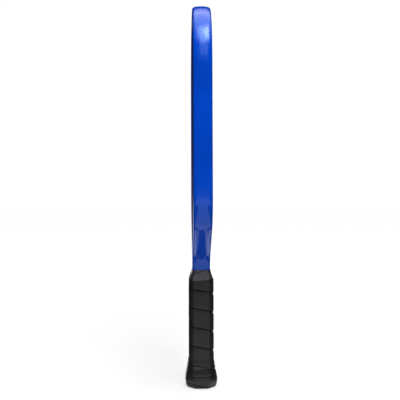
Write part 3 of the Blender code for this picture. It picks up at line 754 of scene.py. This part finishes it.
def woven_finish(name, colour, tow):
    """A thin plain cloth or veil, from the same weave group at a small tow, with painted shade where the
    threads dip.
    """
    made, tree, shader, coords = new_material(name)
    weave = place_group(tree, "weave", Vector=coords.outputs["Object"], Tow=tow)
    # painted shade: each thread darker towards its edges, where it dips between the crossing threads
    wire(tree, shader.inputs["Base Color"],
         blend_colours(tree, weave.outputs["Height"], tint(colour, 0.75), tint(colour, 1.0)))
    wire(tree, shader.inputs["Roughness"], remap(tree, weave.outputs["Fibre"], 0.3, 0.7, 0.7, 0.9))
    add_bump(tree, shader, weave.outputs["Height"], 0.05 * MM, 0.5)
    return made


def give_finish(node_names, finish):
    """Put a finish in every material slot of the construction model's nodes."""
    for name in node_names:
        slots = NODES[name].material_slots
        if not len(slots):
            raise RuntimeError(name + " has no material slot")
        for slot in slots:
            slot.material = finish


# ---- operators: pieces --------------------------------------------------------------------------
class PADDLE_OT_guard(bpy.types.Operator):
    """Build the edge guard as one section carried round the head"""
    bl_idname = "paddle.guard"
    bl_label = "Edge Guard"

    CHANNEL_BACK = 2 * MM           # pattern's length along the channel's back, which closes the loop

    def execute(self, context):
        points, normals, run = guard_outline()
        inset, side, edge = guard_section()
        x = points[:, :1] - normals[:, :1] * inset
        z = points[:, 1:] - normals[:, 1:] * inset
        grid = np.stack([x, np.broadcast_to(side, x.shape), z], axis=-1)
        across = np.concatenate([[0.0], np.cumsum(np.hypot(np.diff(inset), np.diff(side)))])
        across = np.append(across, across[-1] + self.CHANNEL_BACK)
        uv = np.stack(np.meshgrid(run, across, indexing="ij"), axis=-1)
        looks = context.scene.paddle_guard
        made = grid_mesh("edge_guard_moulding", grid, uv, finish=guard_finish(looks))
        add_attribute(made, "edge", np.broadcast_to(edge, x.shape))
        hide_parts("edge_guard")
        return {"FINISHED"}


def guard_section():
    """The guard's section as insets from the outside, places along Y and an edge value.

    The outside is a superellipse: y = L sin(a)^(2/p), inset = D (1 - cos(a)^(2/p)).  From its end the
    lip runs flat over the face, turns in over a quarter circle and comes back along the channel.
    """
    lip_outer = GUARD_HIGH.y
    lip_inner = FACE_OUTER + LIP_CLEARANCE
    outside_points, lip_points = 25, 7
    angle = np.linspace(0.0, math.pi / 2, outside_points)
    power = 2 / EDGE_POWER
    y = lip_outer * np.sin(angle) ** power
    inset = EDGE_DEPTH * (1 - np.maximum(np.cos(angle), 0.0) ** power)
    turn = np.linspace(0.0, math.pi / 2, lip_points)
    lip_inset = LIP_END - LIP_ROUND * (1 - np.sin(turn))
    lip_y = lip_outer - LIP_ROUND * (1 - np.cos(turn))
    half_inset = np.concatenate([inset, [0.5 * (EDGE_DEPTH + LIP_END)], lip_inset, [LIP_END, GUARD_BASE]])
    half_y = np.concatenate([y, [lip_outer], lip_y, [lip_inner, lip_inner]])
    rubbed_edge, flat_lip, lip_edge = smooth((angle - 0.75) / 0.5), 0.2, np.full(lip_points, 0.8)
    half_edge = np.concatenate([rubbed_edge, [flat_lip], lip_edge, [0.0, 0.0]])
    inset = np.concatenate([half_inset[1:][::-1], half_inset])
    side = np.concatenate([-half_y[1:][::-1], half_y])
    edge = np.concatenate([half_edge[1:][::-1], half_edge])
    return inset, side, edge


def strip_grid(turns, profile, lower_edge, width, low, high, outer_at, inner_at, start_turn, sense):
    """A strip wound round the handle as a grid of closed sections.

    turns are the places along the strip, in whole turns.  profile holds shares from 0 to 1 across the
    strip.  A section runs up the outside and back down the inside; its height at share s lies between
    the strip's lower and upper edges, both held between low and high, and its offset from the
    handle's surface comes from outer_at and inner_at, given the distance above the lower edge.
    """
    bottom = lower_edge(turns)[:, None]
    below = np.clip(bottom, low, high)
    over = np.clip(bottom + width, low, high)
    height = below + (over - below) * profile[None, :]
    distance = height - bottom
    around = (start_turn + sense * turns)[:, None]
    outside, normal = handle_surface(around, height)
    winding = np.broadcast_to(turns[:, None], height.shape)
    outer = outside + normal * outer_at(distance, height, winding)[..., None]
    inner = outside + normal * inner_at(distance, height, winding)[..., None]
    outer = np.concatenate([outer, height[..., None]], axis=-1)
    inner = np.concatenate([inner, height[..., None]], axis=-1)[:, ::-1]
    grid = np.concatenate([outer, inner], axis=1)
    across = np.concatenate([distance, distance[:, ::-1], distance[:, :1]], axis=1)
    perimeter = 2 * (SHAFT_HALF_X + SHAFT_HALF_Y) * 1.8     # 0.9 of the box round the shaft
    along = np.broadcast_to((turns * perimeter)[:, None], across.shape)
    return grid, np.stack([along, across], axis=-1), distance


def strip_turns(first, last, per_eighth, start_turn, sense):
    """Places along a strip in turns, so that each facet and each corner gets even shares."""
    step = 1.0 / (8 * per_eighth)
    marks = np.arange(math.ceil((first + start_turn * sense) / step),
                      math.floor((last + start_turn * sense) / step) + 1) * step
    inner = marks - start_turn * sense
    return np.unique(np.round(np.concatenate([[first], inner, [last]]), 9))


def quarter_round(share):
    """Quarter circle: 1 - sqrt(1 - (1 - v)^2), from 1 at v = 0 down to 0 from v = 1 on."""
    return 1 - np.sqrt(np.clip(1 - (1 - np.clip(share, 0, 1)) ** 2, 0, 1))


class PADDLE_OT_grip(bpy.types.Operator):
    """Wind the cushion grip up the handle, each turn over the edge of the one below"""
    bl_idname = "paddle.grip"
    bl_label = "Cushion Grip"

    NOSE = 1.5 * MM                 # height of the rounded lower edge
    STEP = 0.80 * MM                # each turn stands this far over the one below
    FADE = 3.2 * MM                 # a turn sinks over this height towards the next edge
    SINK = 0.92                     # share of that step which it sinks
    UNDER = 0.25 * MM               # further drop under the next turn
    CROWN = 0.10 * MM               # each turn's slight swell between its edges
    WALL = 1.40 * MM
    HEM_ROUND = 1.4 * MM            # height of the rounding at the bottom
    HEM_DEPTH = 0.75 * MM
    TUCK = 0.40 * MM                # pressed in under the finishing tape
    END_MARGIN = 0.6 * MM           # least height of strip left at either end of the winding
    CREASES = ((21.6 * MM, 0.42 * MM), (13.4 * MM, -0.42 * MM))     # heights, and rises of each
    CREASE_WIDTH = 0.9 * MM

    def execute(self, context):
        looks = context.scene.paddle_grip
        low, high = GRIP_LOW.z, GRIP_HIGH.z
        width = looks.pitch + looks.overlap
        step, nose, fade, wall = self.STEP, self.NOSE, self.FADE, self.WALL
        facet_centre = -1.0 / 16    # middle of the +X facet, an eighth's second half before turn 0

        def lower_edge(turns):
            return looks.first_edge + looks.pitch * (shaft_even(turns, facet_centre) - 1.0)

        def outside_at(distance, height, winding):
            """Quarter-ellipse nose, a slight crown, a sink to the next turn's edge, and bell-shaped
            creases where the skin is stretched over the cap."""
            start = -step * quarter_round(distance / nose)
            sink = -self.SINK * step * smooth((distance - (looks.pitch - fade)) / fade)
            under = -self.UNDER * smooth((distance - looks.pitch) / looks.overlap)
            crown = self.CROWN * np.sin(math.pi * np.clip(distance / looks.pitch, 0, 1))
            crown = crown * (1 - np.clip(flare_at(height) / FLARE, 0, 1))
            for place, rise in self.CREASES:
                crown = crown + rise * np.exp(-((height - place) / self.CREASE_WIDTH) ** 2)
            hem = -self.HEM_DEPTH * quarter_round((height - low) / self.HEM_ROUND)
            tuck = -self.TUCK * smooth((height - TAPE_LOW.z) / (2 * MM))
            return np.minimum(start + sink + under + crown + hem + tuck, FLARE - flare_at(height))

        def inside_at(distance, height, winding):
            """The next turn down under the overlap, the handle behind the rest."""
            over = -self.SINK * step - 0.02 * MM - self.UNDER * smooth(distance / looks.overlap)
            return np.where(distance < looks.overlap * 1.02, np.maximum(over, -wall), -wall)

        first = (low + self.END_MARGIN - looks.first_edge - width) / looks.pitch + 1.0
        last = (high - self.END_MARGIN - looks.first_edge) / looks.pitch + 1.0
        turns = strip_turns(first, last, 12, facet_centre, -1)
        dense = np.linspace(0, 1, 12) ** 1.2 * 0.09
        profile = np.concatenate([dense, np.linspace(0.09, 1, 34)[1:]])
        grid, uv, distance = strip_grid(turns, profile, lower_edge, width, low, high,
                                        outside_at, inside_at, facet_centre, -1)
        made = grid_mesh("cushion_grip_wrap", grid, uv, finish=grip_finish(looks))
        edge = smooth(1 - np.abs(distance - nose) / (1.6 * MM))
        # mask of the painted seam shade: the top of each turn under the next turn's edge, and each turn's
        # own rounded nose
        fold = np.maximum(smooth((distance - (looks.pitch - 2.0 * MM)) / (1.6 * MM)),
                          smooth(1.25 - distance / (1.1 * MM)))
        height = grid[:, :len(profile), 2]
        taut = smooth((SKIRT_TOP + 1 * MM - height) / (6 * MM))
        add_attribute(made, "edge", there_and_back(edge))
        add_attribute(made, "fold", there_and_back(fold))
        add_attribute(made, "taut", there_and_back(taut))
        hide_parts("cushion_grip")
        return {"FINISHED"}


def shaft_even(turns, start_turn):
    """Turns counted by the shaft's perimeter passed since start_turn, going clockwise from above."""
    return shaft_share(start_turn + 2.0) - shaft_share(start_turn + 2.0 - turns)


class PADDLE_OT_tape(bpy.types.Operator):
    """Wind the finishing tape over the grip's top end and the guard's ends"""
    bl_idname = "paddle.tape"
    bl_label = "Finishing Tape"

    SEAM = 0.30                     # turn round the handle where the tape starts, at the back
    LAST = 1.96                     # turns wound
    SLACK = 2.2 * MM                # lower edge is drawn up by this much over each slanting facet
    LAYER = 0.9                     # thicknesses by which the second turn stands further out
    DEPTH = 0.85                    # thicknesses from the outside in, less than the layer
    EDGE_DROP = 0.2 * MM            # rounding of both edges

    def execute(self, context):
        looks = context.scene.paddle_tape
        high = TAPE_HIGH.z
        thick = looks.thickness
        seam = self.SEAM

        def low_at(turns):
            """The lower edge: drawn up over each slanting facet by half a cosine wave."""
            wave = np.cos(8 * math.pi * (turns + seam + 1.0 / 16))
            return TAPE_LOW.z + 0.5 * MM + self.SLACK * (1 - wave) / 2

        def dip_at(turns):
            """The outer turn's dip, 0 to 1 and back: a smooth step down and a quicker one up."""
            return smooth((turns - 1.10) / 0.40) * (1 - smooth((turns - 1.579) / 0.13))

        def lower_edge(turns):
            return high - looks.strip - looks.skew * dip_at(turns)

        def outside_at(distance, height, winding):
            """A layer further out from the second turn on, rounded off at both edges."""
            layer = thick + thick * self.LAYER * smooth((winding - 0.97) / 0.06)
            free = np.minimum(height - low_at(winding), looks.strip - distance)
            return layer - self.EDGE_DROP * (1 - smooth(free / (0.5 * MM)))

        def inside_at(distance, height, winding):
            """Thinner than the step between turns, so the second turn clears the first."""
            return outside_at(distance, height, winding) - self.DEPTH * thick

        turns = strip_turns(0.0, self.LAST, 12, seam, 1)
        rim = np.array([0.0, 0.012, 0.03, 0.055])
        profile = np.concatenate([rim, np.linspace(0.09, 0.91, 16), 1 - rim[::-1]])
        grid, uv, distance = strip_grid(turns, profile, lower_edge, looks.strip,
                                        low_at(turns)[:, None], high, outside_at, inside_at, seam, 1)
        made = grid_mesh("finishing_tape_wrap", grid, uv, finish=tape_finish(looks))
        height = grid[:, :len(profile), 2]
        edge = smooth(1 - (high - height) / (0.7 * MM))
        # mask of the painted shade along the outer turn's upper edge, on both turns, only where that edge
        # dips
        over = np.where(turns < 1.0, turns + 1, turns)[:, None]
        gap = height - (lower_edge(over) + looks.strip)
        fold = smooth(1.3 - np.abs(gap) / (0.9 * MM)) * smooth(dip_at(over) / 0.10)
        add_attribute(made, "edge", there_and_back(edge))
        add_attribute(made, "fold", there_and_back(fold))
        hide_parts("finishing_tape")
        return {"FINISHED"}


def ring(height, inset, columns):
    """One closed loop of the rounded octagon at a height, inset from the grip's outside."""
    turn = np.arange(columns) / columns
    point, normal = handle_surface(turn, np.full(columns, height))
    flat = point - normal * inset
    return np.concatenate([flat, np.full((columns, 1), height)], axis=-1)


def plate_loop(half_x, half_y, height, columns):
    """A rounded rectangle as a superellipse: x = a |cos|^(1/2), y = b |sin|^(1/2), signs kept."""
    angle = 2 * math.pi * (np.arange(columns) + 0.5) / columns
    x = half_x * np.sign(np.cos(angle)) * np.abs(np.cos(angle)) ** 0.5
    y = half_y * np.sign(np.sin(angle)) * np.abs(np.sin(angle)) ** 0.5
    return np.stack([x, y, np.full(columns, height)], axis=-1)


def planar_uv(grid):
    """UV of a stack of loops: share round the loop and height."""
    rows, columns = grid.shape[:2]
    around, up = np.meshgrid(np.arange(columns + 1) / columns, np.arange(rows), indexing="xy")
    return np.stack([around, up / rows], axis=-1)


class PADDLE_OT_butt(bpy.types.Operator):
    """Build the moulded cap with its rounded base and the blank badge in it"""
    bl_idname = "paddle.butt"
    bl_label = "Butt Cap and Badge"

    COLUMNS = 128
    WRAP = 1.75 * MM                # grip's outside to the cap's wall
    SOCKET = 1.45 * MM              # grip's outside to the socket, on the shaft
    SHAFT_HEIGHT = 40 * MM          # a height where the handle is plain shaft
    CLEARANCE = 0.3 * MM            # round and over the badge, and under the grip's bottom end
    RECESS_CHAMFER = 0.25 * MM
    BASE_EDGE = 0.9 * MM            # base is smaller than the ledge above it by this much all round
    BADGE_EDGE = 0.2 * MM

    def execute(self, context):
        columns, gap, chamfer = self.COLUMNS, self.CLEARANCE, self.RECESS_CHAMFER
        half_x, half_y = BADGE_HIGH.x, BADGE_HIGH.y
        ledge = GRIP_LOW.z - gap
        recess = [(gap, BADGE_HIGH.z + gap), (gap, chamfer), (gap + chamfer, 0.0)]
        loops = [plate_loop(half_x + out, half_y + out, height, columns) for out, height in recess]
        for angle in np.linspace(0.0, math.pi / 2, 9):
            height = ledge * (1 - math.cos(angle))
            loops.append(ring(height, self.BASE_EDGE * (1 - math.sin(angle)), columns))
        for height in np.linspace(ledge, SKIRT_TOP, 20):
            loops.append(ring(height, self.WRAP, columns))
        socket = ring(self.SHAFT_HEIGHT, self.SOCKET, columns)
        for height in (SKIRT_TOP, CAP_LOW.z + CAP_FLOOR):
            loop = socket.copy()
            loop[:, 2] = height
            loops.append(loop)
        grid = np.stack(loops)
        plastic = moulded_finish("cap_moulded_plastic", (0.016, 0.016, 0.017), 0.5, 700.0, 0.04 * MM)
        cap = grid_mesh("butt_cap_moulding", grid, planar_uv(grid), finish=plastic)
        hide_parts("butt_cap")

        bottom, top = BADGE_LOW.z, BADGE_HIGH.z
        shoulder = 1.0 - self.BADGE_EDGE / half_y
        stack = [(0.55, 0.0), (0.9, 0.0), (shoulder, 0.02), (1.0, 0.35), (1.0, 1.0), (0.5, 1.0)]
        grid = np.stack([plate_loop(half_x * share, half_y * share, bottom + (top - bottom) * up, columns)
                         for share, up in stack])
        satin = moulded_finish("badge_satin_plastic", (0.030, 0.030, 0.032), 0.32, 500.0, 0.02 * MM)
        badge = grid_mesh("end_badge_plate", grid, planar_uv(grid), finish=satin)
        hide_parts("end_badge")
        return {"FINISHED"}


class PADDLE_OT_finishes(bpy.types.Operator):
    """Give the faces and the inner pieces their finishes"""
    bl_idname = "paddle.finishes"
    bl_label = "Faces and Inner Pieces"

    WOVEN = (                       # nodes, finish, colour, width of a thread
        (("front_core_scrim", "back_core_scrim"), "scrim_veil_cloth", (0.70, 0.70, 0.68), 0.6 * MM),
        (("edge_guard_tape",), "adhesive_strip", (0.66, 0.65, 0.60), 0.4 * MM))
    MOULDED = (                     # nodes, finish, colour, roughness, grain's scale and depth, metallic
        (("honeycomb_core",), "honeycomb_film", (0.66, 0.68, 0.70), 0.45, 500.0, 0.03 * MM, 0.0),
        (("perimeter_foam",), "rim_foam_cells", (0.74, 0.70, 0.60), 0.85, 1300.0, 0.2 * MM, 0.0),
        (("handle_core",), "tongue_foam_cells", (0.70, 0.64, 0.50), 0.85, 1100.0, 0.2 * MM, 0.0),
        (("front_handle_pallet", "back_handle_pallet"),
         "pallet_foam_skin", (0.09, 0.09, 0.10), 0.75, 1000.0, 0.1 * MM, 0.0),
        (("cap_staple_1", "cap_staple_2", "cap_staple_3", "cap_staple_4"),
         "staple_wire_steel", (0.60, 0.60, 0.62), 0.30, 2200.0, 0.01 * MM, 1.0))

    def execute(self, context):
        give_finish(("front_face_sheet", "back_face_sheet"), face_finish(context.scene.paddle_face))
        for nodes, *finish in self.WOVEN:
            give_finish(nodes, woven_finish(*finish))
        for nodes, *finish in self.MOULDED:
            give_finish(nodes, moulded_finish(*finish))
        return {"FINISHED"}


# ---- operator: stage ----------------------------------------------------------------------------
def look_from(place, target, roll=0.0):
    """World matrix of something at a place that looks at a target, upright or rolled."""
    back = (Vector(place) - Vector(target)).normalized()
    turn = back.to_track_quat("Z", "Y").to_matrix().to_4x4()
    return Matrix.Translation(place) @ turn @ Matrix.Rotation(roll, 4, "Z")


def add_softbox(name, place, target, width, depth, radiance, mirrored):
    """A rectangular area light of a given radiance; mirrored says whether gloss shows it."""
    light = bpy.data.lights.new(name, "AREA")
    light.shape = "RECTANGLE"
    light.size, light.size_y = width, depth
    light.energy = radiance * math.pi * width * depth
    made = put_in_scene(name, light)
    made.matrix_world = look_from(place, target)
    made.visible_camera = False
    made.visible_glossy = mirrored


def seen_directly(tree):
    """1 for rays from the camera, from gloss and through clear things."""
    path = tree.nodes.new("ShaderNodeLightPath")
    total = maths(tree, "ADD", path.outputs["Is Camera Ray"], path.outputs["Is Glossy Ray"])
    return maths(tree, "ADD", total, path.outputs["Is Transmission Ray"], clamp=True)


class PADDLE_OT_stage(bpy.types.Operator):
    """Set up the floor, the white surroundings, the dark curtain, the softboxes and the camera"""
    bl_idname = "paddle.stage"
    bl_label = "Studio"

    FLOOR_RADIUS = 20.0
    FLOOR_SIDES = 96
    FLOOR_GLOW = 0.60               # where it is seen, under the paddle
    FLOOR_FAR_GLOW = 0.94           # and far away
    FLOOR_FADE = (0.3, 1.5)         # distances between which one turns into the other
    BOUNCE = 0.20                   # glow that lights the paddle
    CURTAIN_RADIUS = 1.05
    CURTAIN_SIDES = 64
    CURTAIN_LOW = 0.01
    CURTAIN_HIGH = 1.50
    CURTAIN_GAP = 0.42              # sine of half the angle of each higher cut
    CURTAIN_GAP_HEIGHT = 0.20
    STRIP_HEIGHT = 0.003
    FLOOR_STRIPS = ((-1.0, -0.10, 0.55), (-0.10, -0.028, 0.028),    # from y, to y, half the x width
                    (0.028, 0.10, 0.028), (0.10, 1.0, 0.55))
    HEAD = (0.06, 0.0, 0.35)        # aims of the softboxes: the head's near edge,
    BELOW = (0.10, 0.05, 0.35)      # straight down from the overhead one,
    MIDDLE = (0.0, 0.0, 0.22)       # and the whole paddle
    SOFTBOXES = (                   # name, place, aim, width, depth, radiance, seen in gloss
        ("softbox_core", (0.40, 0.17, 1.12), HEAD, 0.24, 0.26, 9.0, True),
        ("softbox_middle", (0.42, 0.15, 1.17), HEAD, 0.55, 0.50, 4.2, True),
        ("softbox_low", (0.80, 0.12, 1.02), HEAD, 0.36, 0.5, 1.5, True),
        ("softbox_overhead", (0.10, 0.05, 1.25), BELOW, 1.20, 0.75, 1.7, True),
        ("softbox_key", (1.30, 0.04, 1.10), MIDDLE, 0.7, 0.7, 7.0, False),
        ("softbox_back", (-1.4, 0.5, 1.0), MIDDLE, 0.8, 0.8, 3.5, False),
        ("softbox_front", (-0.5, -1.6, 0.9), MIDDLE, 0.8, 0.8, 2.0, False))
    ROLL = math.radians(-0.16)
    AIM = (0.0010, 0.0042)          # aim's small turn and tilt, as tangents

    def execute(self, context):
        stage = context.scene.paddle_stage
        self.make_floor()
        self.make_world(context.scene, stage.ambient)
        self.make_curtain()
        for softbox in self.SOFTBOXES:
            add_softbox(*softbox)
        self.make_camera(context.scene, stage)
        context.scene.view_settings.view_transform = "Standard"
        return {"FINISHED"}

    def make_curtain(self):
        """Dark cloth hung round the set, cut higher beside both edges, and strips on the floor.

        Only gloss sees them, so that the guard and the grip keep their depth of colour.
        """
        sides, up = self.CURTAIN_SIDES, self.STRIP_HEIGHT
        angle = 2 * math.pi * np.arange(sides) / sides
        beside = np.abs(np.sin(angle)) < self.CURTAIN_GAP
        hem = np.where(beside, self.CURTAIN_GAP_HEIGHT, self.CURTAIN_LOW)
        x, y = np.cos(angle) * self.CURTAIN_RADIUS, np.sin(angle) * self.CURTAIN_RADIUS
        wall = np.concatenate([np.stack([x, y, hem], axis=-1),
                               np.stack([x, y, np.full(sides, self.CURTAIN_HIGH)], axis=-1)])
        index = np.arange(sides)
        after = (index + 1) % sides
        faces = np.stack([index, after, after + sides, index + sides], axis=-1).tolist()
        strips = []
        for low_y, high_y, half_x in self.FLOOR_STRIPS:
            faces.append([len(wall) + len(strips) + corner for corner in range(4)])
            strips += [(-half_x, low_y, up), (half_x, low_y, up),
                       (half_x, high_y, up), (-half_x, high_y, up)]
        mesh = bpy.data.meshes.new("studio_curtain")
        mesh.from_pydata(wall.tolist() + strips, [], faces)
        curtain = put_in_scene("studio_curtain", mesh)
        for sight in ("camera", "diffuse", "transmission", "volume_scatter", "shadow"):
            setattr(curtain, "visible_" + sight, False)
        made, tree, shader, coords = new_material(
            "studio_curtain_cloth", Roughness=1.0, Specular_IOR_Level=0.0)
        nap = noise(tree, coords.outputs["Object"], 60.0, 2.0)
        wire(tree, shader.inputs["Base Color"],
             blend_colours(tree, nap, (0.010, 0.010, 0.010, 1), (0.014, 0.014, 0.014, 1)))
        mesh.materials.append(made)

    def make_floor(self):
        """A wide pale disc just under the butt, whose own glow evens out the lamps' falling light."""
        sides = self.FLOOR_SIDES
        angle = np.linspace(0, 2 * math.pi, sides, endpoint=False)
        disc = np.stack([np.cos(angle), np.sin(angle), np.zeros(sides)], axis=-1) * self.FLOOR_RADIUS
        disc[:, 2] = cad_low.z - 0.2 * MM
        mesh = bpy.data.meshes.new("studio_floor")
        mesh.from_pydata(disc.tolist(), [], [list(range(sides))])
        floor = put_in_scene("studio_floor", mesh)
        made = bpy.data.materials.new("studio_floor_white")
        made.use_nodes = True
        tree = made.node_tree
        tree.nodes.clear()
        matte = tree.nodes.new("ShaderNodeBsdfDiffuse")
        place = tree.nodes.new("ShaderNodeTexCoord").outputs["Object"]
        wire(tree, matte.inputs["Color"],
             blend_colours(tree, noise(tree, place, 3.0, 2.0), (0.42, 0.42, 0.42, 1), (0.44, 0.44, 0.44, 1)))
        glow = tree.nodes.new("ShaderNodeEmission")
        span = tree.nodes.new("ShaderNodeVectorMath")
        span.operation = "LENGTH"
        wire(tree, span.inputs[0], place)
        level = remap(tree, span.outputs["Value"], *self.FLOOR_FADE, self.FLOOR_GLOW, self.FLOOR_FAR_GLOW)
        extra = maths(tree, "SUBTRACT", level, self.BOUNCE)
        strength = maths(tree, "MULTIPLY_ADD", seen_directly(tree), extra, self.BOUNCE)
        wire(tree, glow.inputs["Strength"], strength)
        both = tree.nodes.new("ShaderNodeAddShader")
        tree.links.new(matte.outputs[0], both.inputs[0])
        tree.links.new(glow.outputs[0], both.inputs[1])
        tree.links.new(both.outputs[0], tree.nodes.new("ShaderNodeOutputMaterial").inputs["Surface"])
        mesh.materials.append(made)

    def make_world(self, scene, ambient):
        """White where it is seen, and an even weak light otherwise."""
        world = bpy.data.worlds.new("studio_white")
        world.use_nodes = True
        tree = world.node_tree
        background = tree.nodes["Background"]
        background.inputs["Color"].default_value = (1.0, 1.0, 1.0, 1.0)
        strength = maths(tree, "MULTIPLY_ADD", seen_directly(tree), 1.0 - ambient, ambient)
        wire(tree, background.inputs["Strength"], strength)
        scene.world = world

    def make_camera(self, scene, stage):
        """Camera beside the +X edge, a little towards the front face, level with the lower head."""
        camera = bpy.data.cameras.new("view_camera")
        camera.lens = stage.lens
        camera.sensor_width = 36.0
        camera.clip_start, camera.clip_end = 0.01, 100.0
        made = put_in_scene("view_camera", camera)
        out = Vector((math.cos(stage.turn), -math.sin(stage.turn), 0.0))
        right = Vector((math.sin(stage.turn), math.cos(stage.turn), 0.0))
        place = out * stage.distance + Vector((0.0, 0.0, stage.height))
        sideways, upwards = self.AIM
        target = place - out - right * sideways + Vector((0.0, 0.0, upwards))
        made.matrix_world = look_from(place, target, self.ROLL)
        scene.camera = made


class PADDLE_PT_looks(bpy.types.Panel):
    """Sizes, colours and steps of the paddle's looks"""
    bl_idname = "PADDLE_PT_looks"
    bl_label = "Pickleball Paddle"
    bl_space_type = "VIEW_3D"
    bl_region_type = "UI"
    bl_category = "Paddle"

    def draw(self, context):
        layout = self.layout
        for name, _group in PROPERTY_GROUPS:
            looks = getattr(context.scene, name)
            box = layout.box()
            box.label(text=name.replace("paddle_", "").title())
            for key in looks.bl_rna.properties.keys():
                if key not in ("rna_type", "name"):
                    box.prop(looks, key)
        for step in STEPS:
            layout.operator(step.bl_idname)


PROPERTY_GROUPS = [
    ("paddle_guard", PaddleGuardLooks),
    ("paddle_grip", PaddleGripLooks),
    ("paddle_tape", PaddleTapeLooks),
    ("paddle_face", PaddleFaceLooks),
    ("paddle_stage", PaddleStage),
]
STEPS = [
    PADDLE_OT_guard,
    PADDLE_OT_grip,
    PADDLE_OT_tape,
    PADDLE_OT_butt,
    PADDLE_OT_finishes,
    PADDLE_OT_stage,
]


def register():
    """Register the classes and hang the settings on the scene."""
    for name, group in PROPERTY_GROUPS:
        bpy.utils.register_class(group)
        setattr(bpy.types.Scene, name, bpy.props.PointerProperty(type=group))
    for step in STEPS:
        bpy.utils.register_class(step)
    bpy.utils.register_class(PADDLE_PT_looks)


def unregister():
    """Take the settings and the classes away again."""
    bpy.utils.unregister_class(PADDLE_PT_looks)
    for step in reversed(STEPS):
        bpy.utils.unregister_class(step)
    for name, group in reversed(PROPERTY_GROUPS):
        delattr(bpy.types.Scene, name)
        bpy.utils.unregister_class(group)


def main():
    """Build every piece in order."""
    register()
    for step in STEPS:
        group, name = step.bl_idname.split(".")
        getattr(getattr(bpy.ops, group), name)()


if __name__ == "__main__":
    main()
